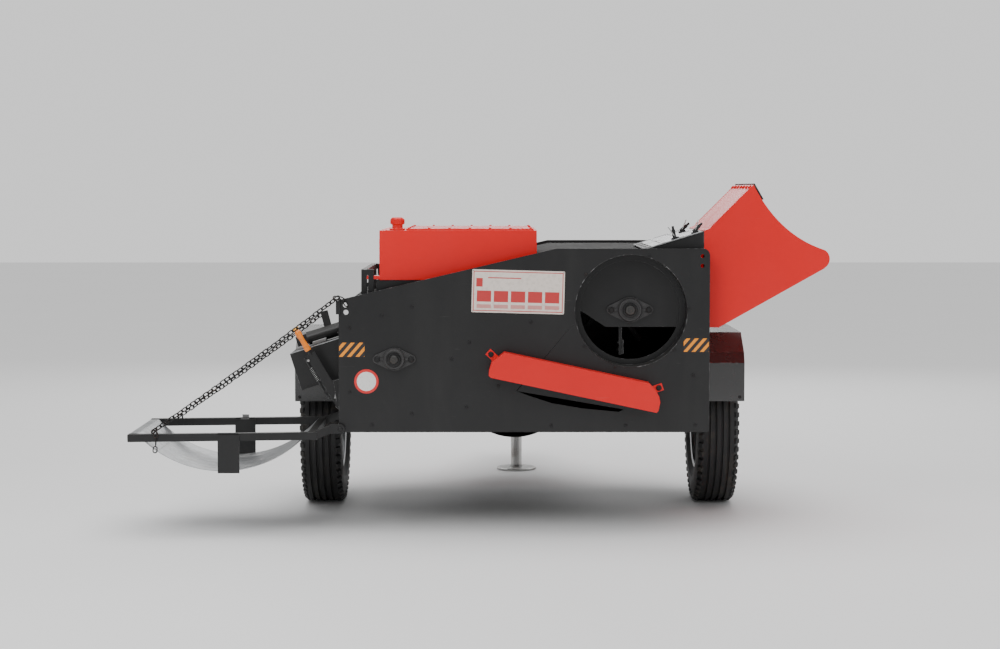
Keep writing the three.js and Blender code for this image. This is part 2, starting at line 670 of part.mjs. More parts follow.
function feedNeck() {
  const right = SHELL_RIGHT - GAP;
  const base = SHELL_ROOF + GAP;
  const wall = polygon([
    [NECK_LEFT, base],
    [right, base],
    [right, lidAt(right) - GAP],
    [NECK_LEFT, lidAt(NECK_LEFT) - GAP],
  ]);
  const whole = alongY(wall, [FEED_NEAR_Y, FEED_FAR_Y]);
  const inside = block(
    [NECK_LEFT + NECK_SHEET, right + 1],
    [FEED_NEAR_Y + NECK_SHEET, FEED_FAR_Y - NECK_SHEET],
    [base - 1, lidAt(right) + 1],
  );
  return cut(whole, inside);
}

const LID_HINGE_X = NECK_LEFT - 10;
const LID_RIGHT = SHELL_RIGHT - 5;

function lid() {
  const lift = LID_THICKNESS / Math.cos(LID_SLOPE);
  const panel = polygon([
    [LID_HINGE_X, lidAt(LID_HINGE_X)],
    [LID_RIGHT, lidAt(LID_RIGHT)],
    [LID_RIGHT, lidAt(LID_RIGHT) + lift],
    [LID_HINGE_X, lidAt(LID_HINGE_X) + lift],
  ]);
  return alongY(panel, [FEED_NEAR_Y - LID_OVERHANG, FEED_FAR_Y + LID_OVERHANG]);
}

// The hopper's outline in X and Z, anticlockwise from its lower left corner.
function hopperOutline(grow) {
  const left = SHELL_RIGHT + GAP - grow * 60;
  const radius = HOPPER_TIP_RADIUS - (grow ? HOPPER_SHEET : 0);
  const sheet = grow ? HOPPER_SHEET : 0;
  const floorX = HOPPER_BOTTOM_BEND_X - sheet * Math.tan(HOPPER_FLOOR_SLOPE / 2);
  const shape = new THREE.Shape();
  shape.moveTo(left, HOPPER_BOTTOM_Z + sheet);
  shape.lineTo(floorX, HOPPER_BOTTOM_Z + sheet);
  shape.absarc(HOPPER_TIP_X, HOPPER_TIP_Z, radius, HOPPER_FLOOR_SLOPE - Math.PI / 2, 60 * DEG);
  if (grow) {
    shape.lineTo(HOPPER_TIP_X + 200, HOPPER_APEX_Z);
    shape.lineTo(HOPPER_APEX_X + 60, HOPPER_APEX_Z + 60 - sheet * Math.SQRT2);
  } else {
    const [pullX, pullRise] = HOPPER_MOUTH_PULL;
    shape.quadraticCurveTo(pullX, PLATE_TOP + pullRise, HOPPER_APEX_X, HOPPER_APEX_Z);
  }
  const shoulderZ = HOPPER_APEX_Z - (HOPPER_APEX_X - HOPPER_SHOULDER_X) - sheet * Math.SQRT2;
  shape.lineTo(HOPPER_SHOULDER_X, shoulderZ);
  shape.lineTo(SHELL_RIGHT + GAP, shoulderZ - 9);
  shape.lineTo(left, shoulderZ - 9);
  return shape;
}

function feedHopper() {
  const outer = alongY(hopperOutline(0), [FEED_NEAR_Y, FEED_FAR_Y]);
  const inner = alongY(hopperOutline(1), [FEED_NEAR_Y + HOPPER_SHEET, FEED_FAR_Y - HOPPER_SHEET]);
  return cut(outer, inner);
}

function hopperFlap() {
  const lean = -60 * DEG;
  const start = -14;
  const strip = block([start, start + FLAP_LENGTH], [FEED_NEAR_Y, FEED_FAR_Y], [1, 1 + FLAP_THICKNESS]);
  return strip.rotateY(-lean).translate(HOPPER_APEX_X, 0, HOPPER_APEX_Z);
}

function buildFeedSide() {
  add("feed_neck", feedNeck(), BLACK);
  add("lid", lid(), GALVANISED);
  add("feed_hopper", feedHopper(), RED);
  add("hopper_flap", hopperFlap(), RUBBER);
}

// ---------------------------------------------------------------------------------------------
// Roof: seed tank, its rest and the guard beside it
// ---------------------------------------------------------------------------------------------

const TANK_Y = [TANK_REAR_Y, TANK_REAR_Y + TANK_LENGTH];
const TANK_CLEAR = 6; // between the sloping roof and the tank's floor

function tankOutline() {
  const meet = SHELL_LEFT + (TANK_BOTTOM - TANK_CLEAR - roofAt(SHELL_LEFT)) / ROOF_RISE;
  return [
    [TANK_LEFT, TANK_BOTTOM],
    [meet, TANK_BOTTOM],
    [TANK_RIGHT, roofAt(TANK_RIGHT) + TANK_CLEAR],
    [TANK_RIGHT, TANK_TOP],
    [TANK_LEFT, TANK_TOP],
  ];
}

function seedTank() {
  const outer = alongY(polygon(tankOutline()), TANK_Y);
  const insideY = [TANK_Y[0] + TANK_SHEET, TANK_Y[1] - TANK_SHEET];
  const inner = alongY(polygon(inset(tankOutline(), TANK_SHEET)), insideY);
  const coverX = [TANK_LEFT + 108, TANK_RIGHT - 13];
  const coverY = [TANK_Y[0] + 12, TANK_Y[1] - 12];
  const cover = block(coverX, coverY, [TANK_TOP - 1, TANK_TOP + TANK_COVER_RISE]);
  const underCover = block(
    [coverX[0] + TANK_SHEET, coverX[1] - TANK_SHEET],
    [coverY[0] + TANK_SHEET, coverY[1] - TANK_SHEET],
    [TANK_TOP - TANK_SHEET - 1, TANK_TOP + TANK_COVER_RISE - TANK_SHEET],
  );
  const spout = roundRodZ(CAP_X, TANK_Y[0] + 90, CAP_RADIUS - 6, [TANK_TOP - 10, TANK_TOP + 20]);
  return cut(fuse(cut(outer, inner), cover), underCover, spout);
}

function tankCap() {
  const foot = TANK_TOP + GAP;
  const profile = [
    [0, foot],
    [CAP_RADIUS + 6, foot],
    [CAP_RADIUS + 6, foot + 6],
    [CAP_RADIUS - 4, foot + 8],
    [CAP_RADIUS - 4, foot + 22],
    [CAP_RADIUS + 4, foot + 24],
    [CAP_RADIUS + 4, foot + 44],
    [CAP_RADIUS - 6, foot + CAP_RISE],
    [0, foot + CAP_RISE],
  ];
  return turned(profile, 24).rotateX(Math.PI / 2).translate(CAP_X, TANK_Y[0] + 90, 0);
}

function tankRest() {
  const left = TANK_LEFT - 14;
  const meet = SHELL_LEFT + (TANK_BOTTOM - 2 * TANK_CLEAR - roofAt(SHELL_LEFT)) / ROOF_RISE;
  const wedge = polygon([
    [left, roofAt(left) + GAP],
    [meet, roofAt(meet) + GAP],
    [meet, TANK_BOTTOM - GAP],
    [left, TANK_BOTTOM - GAP],
  ]);
  const y = [TANK_Y[0] + 4, TANK_Y[1] - 4];
  const wall = 5;
  const inside = block([left + wall, meet - wall], [y[0] + wall, y[1] - wall], [roofAt(left) - 20, TANK_BOTTOM]);
  return cut(alongY(wedge, y), inside);
}

function tankGuard() {
  const t = GUARD_TUBE;
  const portal = (y) => {
    const leftPost = block([GUARD_LEFT, GUARD_LEFT + t], [y, y + t], [roofAt(GUARD_LEFT) - 20, GUARD_TOP]);
    const rightPost = block([GUARD_RIGHT - t, GUARD_RIGHT], [y, y + t], [roofAt(GUARD_RIGHT) - 20, GUARD_TOP]);
    const head = block([GUARD_LEFT, GUARD_RIGHT], [y, y + t], [GUARD_TOP - t, GUARD_TOP]);
    return fuse(leftPost, rightPost, head);
  };
  const railY = [TANK_Y[0], TANK_Y[1]];
  const rail = block([GUARD_LEFT, GUARD_LEFT + t], railY, [GUARD_TOP - t, GUARD_TOP]);
  const frame = fuse(portal(TANK_Y[0]), portal(TANK_Y[1] - t), rail);
  const roof = polygon([
    [GUARD_LEFT - 10, roofAt(GUARD_LEFT - 10) + GAP],
    [GUARD_LEFT - 10, roofAt(GUARD_LEFT) - 60],
    [GUARD_RIGHT + 10, roofAt(GUARD_LEFT) - 60],
    [GUARD_RIGHT + 10, roofAt(GUARD_RIGHT + 10) + GAP],
  ]);
  return cut(frame, alongY(roof, [TANK_Y[0] - 10, TANK_Y[1] + 10]));
}

function buildRoof() {
  add("seed_tank", seedTank(), RED);
  add("tank_cap", tankCap(), RED);
  add("tank_rest", tankRest(), BLACK);
  add("tank_guard", tankGuard(), BLACK);
}

// ---------------------------------------------------------------------------------------------
// Left side: chute, cross tube, lever
// ---------------------------------------------------------------------------------------------

function dischargeChute() {
  const root = SHELL_LEFT - GAP;
  const depth = CHUTE_HEIGHT / Math.cos(CHUTE_TILT);
  const sheet = CHUTE_SHEET / Math.cos(CHUTE_TILT);
  const lowX = CHUTE_TIP_X + CHUTE_HEIGHT * Math.sin(CHUTE_TILT);
  const outer = polygon([
    [CHUTE_TIP_X, CHUTE_TIP_Z],
    [lowX, chuteRoofAt(lowX) - depth],
    [root, chuteRoofAt(root) - depth],
    [root, chuteRoofAt(root)],
  ]);
  const beyond = 30;
  const inner = polygon([
    [CHUTE_TIP_X - beyond, chuteRoofAt(CHUTE_TIP_X - beyond) - sheet],
    [CHUTE_TIP_X - beyond, chuteRoofAt(CHUTE_TIP_X - beyond) - depth + sheet],
    [root + beyond, chuteRoofAt(root + beyond) - depth + sheet],
    [root + beyond, chuteRoofAt(root + beyond) - sheet],
  ]);
  const insideY = [CHUTE_NEAR_Y + CHUTE_SHEET, CHUTE_FAR_Y - CHUTE_SHEET];
  return cut(alongY(outer, [CHUTE_NEAR_Y, CHUTE_FAR_Y]), alongY(inner, insideY));
}

const SIDE_TUBE_LIFT = (SIDE_TUBE_RADIUS + SIDE_TUBE_CLEAR) / Math.cos(CHUTE_TILT);

function sideTubeAt(x) {
  return [x, SIDE_TUBE_Y, chuteRoofAt(x) + SIDE_TUBE_LIFT];
}

function sideTube() {
  const tube = roundBar(sideTubeAt(SIDE_TUBE_END_X), sideTubeAt(SHELL_LEFT - 20), SIDE_TUBE_RADIUS, 24);
  const root = block(
    [SHELL_LEFT - 24, SHELL_LEFT - GAP],
    [SIDE_TUBE_Y - 38, SIDE_TUBE_Y + 38],
    [sideTubeAt(SHELL_LEFT)[2] - 30, sideTubeAt(SHELL_LEFT)[2] + 30],
  );
  const [footX, footZ] = CHAIN_POST_FOOT;
  const [topX, topZ] = CHAIN_POST_TOP;
  const chainPost = member([footX, SIDE_TUBE_Y, footZ], [topX, SIDE_TUBE_Y, topZ], 6, 31);
  const endPlate = member(sideTubeAt(SIDE_TUBE_END_X - 46), sideTubeAt(SIDE_TUBE_END_X + 10), 8, 42);
  return fuse(tube, root, chainPost, endPlate);
}

function tubeSaddle() {
  const [left, right] = SADDLE_X;
  const top = SIDE_TUBE_CLEAR / Math.cos(CHUTE_TILT) + 12;
  const wedge = polygon([
    [left, chuteRoofAt(left) + GAP],
    [right, chuteRoofAt(right) + GAP],
    [right, chuteRoofAt(right) + top],
    [left, chuteRoofAt(left) + top],
  ]);
  const blockSolid = alongY(wedge, [SIDE_TUBE_Y - 40, SIDE_TUBE_Y + 20]);
  const seat = roundBar(sideTubeAt(left - 40), sideTubeAt(right + 40), SIDE_TUBE_RADIUS + 1, 24);
  return cut(blockSolid, seat);
}

function leverBracket() {
  const face = polygon([
    [SHELL_LEFT - GAP, LEVER_Z - 24],
    [SHELL_LEFT - GAP, LEVER_Z + 103],
    [LEVER_X - 2, LEVER_Z + 98],
    [LEVER_X - 24, LEVER_Z + 90],
    [LEVER_X - 14, LEVER_Z + 18],
    [LEVER_X - 16, LEVER_Z - 14],
    [LEVER_X - 6, LEVER_Z - 24],
  ]);
  const behind = LEVER_Y - LEVER_THICKNESS / 2 - 5;
  const plate = alongY(face, [behind - 8, behind]);
  const pin = roundRodY(LEVER_X, LEVER_Z, PIN_RADIUS, [behind - 1, LEVER_Y + 18]);
  return fuse(plate, pin);
}

// The lever is made upright at the zero, then leaned over its pivot.
function leaned(geometry) {
  return geometry.rotateY(-LEVER_LEAN).translate(LEVER_X, LEVER_Y, LEVER_Z);
}

function handLever() {
  const half = LEVER_THICKNESS / 2;
  const bar = block([-LEVER_WIDTH / 2, LEVER_WIDTH / 2], [-half, half], [0, LEVER_LENGTH - 20]);
  const boss = roundRodY(0, 0, LEVER_WIDTH / 2, [-half, half]);
  const tang = roundRodZ(0, 0, 7, [LEVER_LENGTH - 30, LEVER_LENGTH + GRIP_LENGTH - 10], 12);
  const rodX = -LEVER_WIDTH / 2 - 9;
  const latchRod = roundRodZ(rodX, 0, 5, [40, LEVER_LENGTH - 24], 10);
  const lugs = [60, LEVER_LENGTH - 45].map((z) => block([rodX - 6, 0], [-half, half], [z, z + 12]));
  const bore = roundRodY(0, 0, PIN_RADIUS + RUNNING_CLEARANCE, [-20, 20]);
  return leaned(cut(fuse(bar, boss, tang, latchRod, ...lugs), bore));
}

function leverGrip() {
  const base = LEVER_LENGTH - 6;
  const profile = [
    [7 + GAP, base],
    [GRIP_RADIUS, base],
    [GRIP_RADIUS - 1, base + GRIP_LENGTH * 0.35],
    [GRIP_RADIUS + 1, base + GRIP_LENGTH * 0.75],
    [GRIP_RADIUS - 3, base + GRIP_LENGTH - 3],
    [0, base + GRIP_LENGTH + 2],
    [0, base + GRIP_LENGTH - 2],
    [7 + GAP, base + GRIP_LENGTH - 2],
    [7 + GAP, base],
  ];
  return leaned(turned(profile, 20).rotateX(Math.PI / 2));
}

function buildLeftSide() {
  add("discharge_chute", dischargeChute(), BLACK);
  add("side_tube", sideTube(), BLACK);
  add("tube_saddle", tubeSaddle(), GALVANISED);
  add("lever_bracket", leverBracket(), BLACK);
  add("hand_lever", handLever(), BLACK);
  add("lever_grip", leverGrip(), ORANGE);
}

// ---------------------------------------------------------------------------------------------
// Folding cradle and its chains
// ---------------------------------------------------------------------------------------------

function cradleBarAt(x) {
  const share = (x - CRADLE_TIP_X) / (CRADLE_ROOT_X - CRADLE_TIP_X);
  return CRADLE_TIP_Z + share * (CRADLE_ROOT_Z - CRADLE_TIP_Z);
}

// One long bar with the arm and eye that carry it.
function cradleBar(y, eyeY, plateFaces) {
  const tube = boxTube(
    [CRADLE_TIP_X, y, CRADLE_TIP_Z],
    [CRADLE_ROOT_X, y, CRADLE_ROOT_Z],
    CRADLE_TUBE,
    CRADLE_TUBE,
    CRADLE_WALL,
  );
  const eyeSpan = [eyeY - EYE_THICKNESS / 2, eyeY + EYE_THICKNESS / 2];
  const eyeX = CRADLE_HINGE_X;
  const eye = fuse(
    roundRodY(eyeX, CRADLE_HINGE_Z, EYE_RADIUS, eyeSpan),
    block([eyeX - 46, eyeX], eyeSpan, [CRADLE_HINGE_Z - EYE_RADIUS, CRADLE_HINGE_Z + EYE_RADIUS]),
  );
  const arm = member(
    [CRADLE_ROOT_X - 12, y, CRADLE_ROOT_Z],
    [eyeX - 38, eyeY, CRADLE_HINGE_Z],
    EYE_THICKNESS,
    2 * EYE_RADIUS - 4,
  );
  const boreSpan = [eyeSpan[0] - 1, eyeSpan[1] + 1];
  const bore = roundRodY(eyeX, CRADLE_HINGE_Z, PIN_RADIUS + RUNNING_CLEARANCE, boreSpan);
  const plate = block(
    [CRADLE_PLATE_X - CRADLE_PLATE_WIDTH / 2, CRADLE_PLATE_X + CRADLE_PLATE_WIDTH / 2],
    plateFaces,
    [CRADLE_PLATE_BOTTOM, CRADLE_TIP_Z + CRADLE_TUBE / 2],
  );
  return fuse(tube, cut(fuse(eye, arm), bore), plate);
}

function cradleCross(x) {
  const half = CRADLE_TUBE / 2;
  const z = cradleBarAt(x);
  return boxTube(
    [x, CRADLE_NEAR_Y + half + GAP, z],
    [x, CRADLE_FAR_Y - half - GAP, z],
    CRADLE_TUBE,
    CRADLE_TUBE - 2,
    CRADLE_WALL,
  );
}

function cradleSheet() {
  const half = CRADLE_TUBE / 2;
  const left = CRADLE_TIP_X + CRADLE_TUBE + 2;
  const right = CRADLE_ROOT_X - CRADLE_CROSS_INSET - CRADLE_TUBE - 2;
  const chord = (right - left) / 2;
  const centreX = (left + right) / 2;
  const rim = cradleBarAt(centreX) + 8;
  const radius = (chord ** 2 + CRADLE_SAG ** 2) / (2 * CRADLE_SAG);
  const centreZ = rim - CRADLE_SAG + radius;
  const spread = Math.asin(chord / radius);
  const shape = new THREE.Shape();
  shape.absarc(centreX, centreZ, radius, -Math.PI / 2 - spread, -Math.PI / 2 + spread);
  shape.absarc(centreX, centreZ, radius - CRADLE_SHEET, -Math.PI / 2 + spread, -Math.PI / 2 - spread, true);
  const nearY = CRADLE_NEAR_Y + half + GAP;
  const farY = CRADLE_FAR_Y - half - 5 - GAP;
  return alongY(shape, [nearY, farY], 20);
}

function cradleBeam() {
  const beam = block(
    [CRADLE_HINGE_X - 14, SHELL_LEFT - GAP],
    [SHELL_Y[0], CRADLE_FAR_Y - 12],
    [CRADLE_HINGE_Z - 13, CRADLE_HINGE_Z + 13],
  );
  const pin = roundRodY(CRADLE_HINGE_X, CRADLE_HINGE_Z, PIN_RADIUS, [CRADLE_FAR_Y - 13, CRADLE_FAR_Y + 14]);
  return fuse(beam, pin);
}

function chain(from, to) {
  const middle = from.map((value, i) => (value + to[i]) / 2);
  middle[2] -= CHAIN_DIP;
  const points = [from, middle, to].map((point) => new THREE.Vector3(...point));
  const path = new THREE.CatmullRomCurve3(points);
  const section = new THREE.Shape().absarc(0, 0, CHAIN_RADIUS, 0, 2 * Math.PI);
  return new THREE.ExtrudeGeometry(section, { steps: 16, extrudePath: path, curveSegments: 4 });
}

function buildCradle() {
  const half = CRADLE_TUBE / 2;
  const nearEye = REAR_Y - 21;
  const nearPlate = [CRADLE_NEAR_Y - half - 5, CRADLE_NEAR_Y - half + 1];
  const farPlate = [CRADLE_FAR_Y - half - 5, CRADLE_FAR_Y - half + 1];
  add("cradle_bar_near", cradleBar(CRADLE_NEAR_Y, nearEye, nearPlate), BLACK);
  add("cradle_bar_far", cradleBar(CRADLE_FAR_Y, CRADLE_FAR_Y, farPlate), BLACK);
  add("cradle_cross_outer", cradleCross(CRADLE_TIP_X + half), BLACK);
  add("cradle_cross_inner", cradleCross(CRADLE_ROOT_X - CRADLE_CROSS_INSET - half), BLACK);
  add("cradle_sheet", cradleSheet(), GALVANISED);
  add("cradle_beam", cradleBeam(), BLACK);
  const nearTop = [PLATE_LEFT - 6, REAR_Y - 13, PLATE_SHOULDER + 8];
  const footAt = (x, y) => [x, y, cradleBarAt(x) + half + CHAIN_RADIUS + 2];
  const nearFoot = footAt(CHAIN_NEAR_FOOT_X, CRADLE_NEAR_Y);
  add("chain_near", chain(nearTop, nearFoot), BRIGHT_STEEL);
  const [farX, farForward, farZ] = CHAIN_FAR_TOP;
  const farTop = [farX, SIDE_TUBE_Y + farForward, farZ];
  add("chain_far", chain(farTop, footAt(CHAIN_FAR_FOOT_X, CRADLE_FAR_Y)), BRIGHT_STEEL);
}

// ---------------------------------------------------------------------------------------------
// Running gear
// ---------------------------------------------------------------------------------------------

// The tyre's carcass as one section, from bead to bead and back along its lining; heights run across.
function tyreProfile() {
  const half = TYRE_WIDTH / 2;
  const outer = TYRE_OD / 2;
  const bead = RIM_RADIUS + 2;
  const seat = RIM_WIDTH / 2 - 1.5;
  const flank = (bead + outer) / 2 + 6;
  const skin = [
    [bead, -seat],
    [bead + 18, -seat],
    [bead + 32, -half + 9],
    [flank, -half],
    [outer - 36, -half + 6],
    [outer - 8, -half + 22],
    [outer, -half + 48],
  ];
  const lining = [
    [bead, seat - TYRE_WALL],
    [bead + 16, seat - TYRE_WALL],
    [flank - 30, half - 9 - TYRE_WALL],
    [outer - 42, half - 10 - TYRE_WALL],
    [outer - TYRE_WALL - 4, half - 42],
  ];
  const acrossSkin = skin.map(([r, h]) => [r, -h]).reverse();
  const acrossLining = lining.map(([r, h]) => [r, -h]).reverse();
  return [...skin, ...acrossSkin, ...lining, ...acrossLining, skin[0]];
}

// The rim's barrel, dished disc and hub as one section, closed on itself.
function rimProfile() {
  const half = RIM_WIDTH / 2;
  const lip = RIM_RADIUS + 14;
  const barrel = RIM_RADIUS - RIM_SHEET;
  const bore = STUB_RADIUS + RUNNING_CLEARANCE;
  const hub = HUB_LENGTH / 2;
  const dish = [
    [HUB_RADIUS, 6],
    [RIM_RADIUS - 62, 22],
    [barrel, 4],
  ];
  const dishFront = dish.map(([r, h]) => [r, h + DISC_SHEET]).reverse();
  return [
    [bore, -hub],
    [HUB_RADIUS, -hub],
    ...dish,
    [barrel, -half],
    [lip, -half - RIM_SHEET - 3],
    [lip, -half - 2],
    [RIM_RADIUS, -half + 1],
    [RIM_RADIUS, half - 1],
    [lip, half + 2],
    [lip, half + RIM_SHEET + 3],
    [barrel, half],
    ...dishFront,
    [HUB_RADIUS - 8, hub],
    [bore, hub],
    [bore, -hub],
  ];
}

// Turns a section made about +Y so that its +height points out of the machine on that side.
function ontoAxle(geometry, side) {
  return geometry.rotateZ((-side * Math.PI) / 2).translate(side * WHEEL_X, 0, AXLE_Z);
}

function axleBeam() {
  const half = AXLE_SQUARE / 2;
  const shoulder = WHEEL_X - HUB_LENGTH / 2 - AXLE_CLEAR_OF_HUB;
  const beam = block([-shoulder, shoulder], [-half, half], [AXLE_Z - half, AXLE_Z + half]);
  const stub = roundRodX(0, AXLE_Z, STUB_RADIUS, [-WHEEL_X - HUB_LENGTH / 2 - 8, WHEEL_X + HUB_LENGTH / 2 + 8]);
  const saddles = [-520, 520].map((x) => {
    return block([x - 50, x + 50], [-half - 20, half], [AXLE_Z + half - 1, SHELL_FLOOR + BODY_LIFT - GAP]);
  });
  return fuse(beam, stub, ...saddles);
}

function mudguard(side) {
  const reach = MUDGUARD_REACH;
  const [kneeIn, kneeDown] = MUDGUARD_KNEE;
  const outside = [
    [-reach, MUDGUARD_HEM],
    [-reach, MUDGUARD_TOP - MUDGUARD_BEND],
    [-reach + kneeIn, MUDGUARD_TOP - kneeDown],
    [-reach + MUDGUARD_BROW, MUDGUARD_TOP],
    [reach - MUDGUARD_BROW, MUDGUARD_TOP],
    [reach - kneeIn, MUDGUARD_TOP - kneeDown],
    [reach, MUDGUARD_TOP - MUDGUARD_BEND],
    [reach, MUDGUARD_HEM],
  ];
  const anticlockwise = [...outside].reverse();
  const inner = inset(anticlockwise, MUDGUARD_SHEET);
  const open = inner.map(([y, z], i) => [y, i === 0 || i === inner.length - 1 ? MUDGUARD_HEM - 20 : z]);
  const low = WHEEL_X - MUDGUARD_WIDTH / 2;
  const xs = side > 0 ? [low, low + MUDGUARD_WIDTH] : [-low - MUDGUARD_WIDTH, -low];
  const sheet = cut(alongX(polygon(anticlockwise), xs), alongX(polygon(open), [xs[0] - 1, xs[1] + 1]));
  const wall = side > 0 ? SHELL_RIGHT + GAP : SHELL_LEFT - GAP;
  const arms = [-220, 180].map((y) => {
    const armX = side > 0 ? [wall, low + 30] : [-low - 30, wall];
    return block(armX, [y, y + 40], [MUDGUARD_TOP - MUDGUARD_SHEET - 30, MUDGUARD_TOP - 1]);
  });
  return fuse(sheet, ...arms);
}

function buildRunningGear() {
  add("axle_beam", axleBeam(), BLACK, machine);
  for (const [name, side] of [["left", -1], ["right", 1]]) {
    add(`tyre_${name}`, ontoAxle(turned(tyreProfile(), 36), side), RUBBER, machine);
    add(`rim_${name}`, ontoAxle(turned(rimProfile(), 24), side), BRIGHT_STEEL, machine);
    add(`mudguard_${name}`, mudguard(side), BLACK, machine);
  }
}

// ---------------------------------------------------------------------------------------------
// Drawbar, jack and drive
// ---------------------------------------------------------------------------------------------

const LEG_Z = LEG_TOP - LEG_HEIGHT / 2;
const LEG_REAR_Y = AXLE_SQUARE / 2;

function drawbarLeg(side) {
  const from = [side * LEG_REAR_X, LEG_REAR_Y - 40, LEG_Z];
  const to = [side * LEG_FRONT_X, LEG_FRONT_Y, LEG_Z];
  const tube = boxTube(from, to, LEG_WIDTH, LEG_HEIGHT, LEG_WALL);
  const behindAxle = block([-600, 600], [-200, LEG_REAR_Y + GAP], [0, 600]);
  const half = TONGUE_WIDTH / 2 + GAP;
  const tongueRoom = block([-half, half], [TONGUE_REAR_Y - 200, HITCH_Y], [0, 600]);
  return cut(tube, behindAxle, tongueRoom);
}

function drawbarTongue() {
  const half = TONGUE_WIDTH / 2;
  const bodyY = [TONGUE_REAR_Y, HITCH_Y - HITCH_RADIUS - 20];
  const body = block([-half, half], bodyY, [LEG_TOP - LEG_HEIGHT, LEG_TOP]);
  const span = [LEG_Z - HITCH_THICKNESS / 2, LEG_Z + HITCH_THICKNESS / 2];
  const shank = block([-SHANK_HALF, SHANK_HALF], [HITCH_Y - HITCH_RADIUS - 40, HITCH_Y - 30], span);
  const ring = roundRodZ(0, HITCH_Y, HITCH_RADIUS, span, 32);
  const bore = roundRodZ(0, HITCH_Y, HITCH_BORE, [span[0] - 1, span[1] + 1], 32);
  return cut(fuse(body, shank, ring), bore);
}

function frontCrossmember() {
  const span = CROSS_Y.map((y) => FRONT_Y + y);
  const bar = block(CROSS_X, span, [LEG_TOP + GAP, SHELL_FLOOR - GAP]);
  const trough = roundRodY(TROUGH_X, TROUGH_Z, TROUGH_RADIUS + 4, [FRONT_Y - 100, FRONT_Y + 20], 64);
  const halves = cut(bar, trough);
  const under = block([-CROSS_UNDER_HALF, CROSS_UNDER_HALF], span, [LEG_TOP - 60, LEG_TOP - 20]);
  const ties = CROSS_TIE_X.map((x) => block([x, x + CROSS_TIE_WIDTH], span, [LEG_TOP - 30, LEG_TOP + 4]));
  const legRoom = [-1, 1].map((side) => {
    const from = [side * LEG_REAR_X, LEG_REAR_Y - 40, LEG_Z];
    const to = [side * LEG_FRONT_X, LEG_FRONT_Y, LEG_Z];
    return member(from, to, LEG_WIDTH + 2 * GAP, LEG_HEIGHT + 2 * GAP);
  });
  return cut(fuse(halves, under, ...ties), ...legRoom);
}

// How far out a leg's middle is, by its place along the machine.
function legWidthAt(y) {
  const share = (y - (LEG_REAR_Y - 40)) / (LEG_FRONT_Y - (LEG_REAR_Y - 40));
  return LEG_REAR_X + share * (LEG_FRONT_X - LEG_REAR_X);
}

// The jack's tube with its crank, on the plate across the legs that carries it.
function jackTube() {
  const reach = legWidthAt(JACK_Y) + 20;
  const deck = block([-reach, reach], [JACK_Y - 60, JACK_Y + 60], [LEG_TOP + GAP, LEG_TOP + 10]);
  const tube = roundRodZ(0, JACK_Y, JACK_RADIUS, [JACK_TUBE_BOTTOM, JACK_TOP]);
  const crankZ = JACK_TOP - 40;
  const spindle = roundRodX(JACK_Y, crankZ, 9, [JACK_RADIUS - 6, JACK_RADIUS + 60], 12);
  const arm = block([JACK_RADIUS + 48, JACK_RADIUS + 58], [JACK_Y - 10, JACK_Y + 10], [crankZ - 10, crankZ + 110]);
  const knob = roundRodX(JACK_Y, crankZ + 98, 10, [JACK_RADIUS + 50, JACK_RADIUS + 130], 12);
  const bore = roundRodZ(0, JACK_Y, JACK_LEG_RADIUS + RUNNING_CLEARANCE, [JACK_TUBE_BOTTOM - 1, JACK_TOP - 20]);
  return cut(fuse(deck, tube, spindle, arm, knob), bore);
}

function jackLeg() {
  const legTop = JACK_TUBE_BOTTOM + BODY_LIFT + 100;
  const leg = roundRodZ(0, JACK_Y, JACK_LEG_RADIUS, [JACK_FOOT_THICKNESS - 1, legTop]);
  const foot = roundRodZ(0, JACK_Y, JACK_FOOT_RADIUS, [0, JACK_FOOT_THICKNESS], 32);
  return fuse(leg, foot);
}

// The outline round two circles and the straight runs between them, as a belt would lie.
function beltOutline([ax, az, ar], [bx, bz, br]) {
  const lean = Math.atan2(bz - az, bx - ax);
  const open = Math.acos((ar - br) / Math.hypot(bx - ax, bz - az));
  const shape = new THREE.Shape();
  shape.absarc(ax, az, ar, lean + open, lean - open);
  shape.absarc(bx, bz, br, lean - open, lean + open);
  return shape;
}

function driveCover(margin, span) {
  const corners = [
    [ROTOR_X, ROTOR_Z, ROTOR_PULLEY_RADIUS + margin],
    [SIEVE_X, SIEVE_Z, SIEVE_WHEEL_RADIUS + margin],
    [0, GEARBOX_Z, GEARBOX_HEIGHT / 2 + margin],
  ];
  const middle = polygon(corners.map(([x, z]) => [x, z]).reverse());
  const sides = corners.map((corner, i) => alongY(beltOutline(corner, corners[(i + 1) % 3]), span, 8));
  return fuse(alongY(middle, span), ...sides);
}

function driveGuard() {
  const face = FRONT_Y + GAP;
  const pocketY = [face - 1, face + DRIVE_GUARD_DEPTH - DRIVE_GUARD_SHEET];
  const inner = driveCover(DRIVE_GUARD_MARGIN - DRIVE_GUARD_SHEET, pocketY);
  return cut(driveCover(DRIVE_GUARD_MARGIN, [face, face + DRIVE_GUARD_DEPTH]), inner);
}

const GEARBOX_Y = FRONT_Y + DRIVE_GUARD_DEPTH + 2 * GAP;

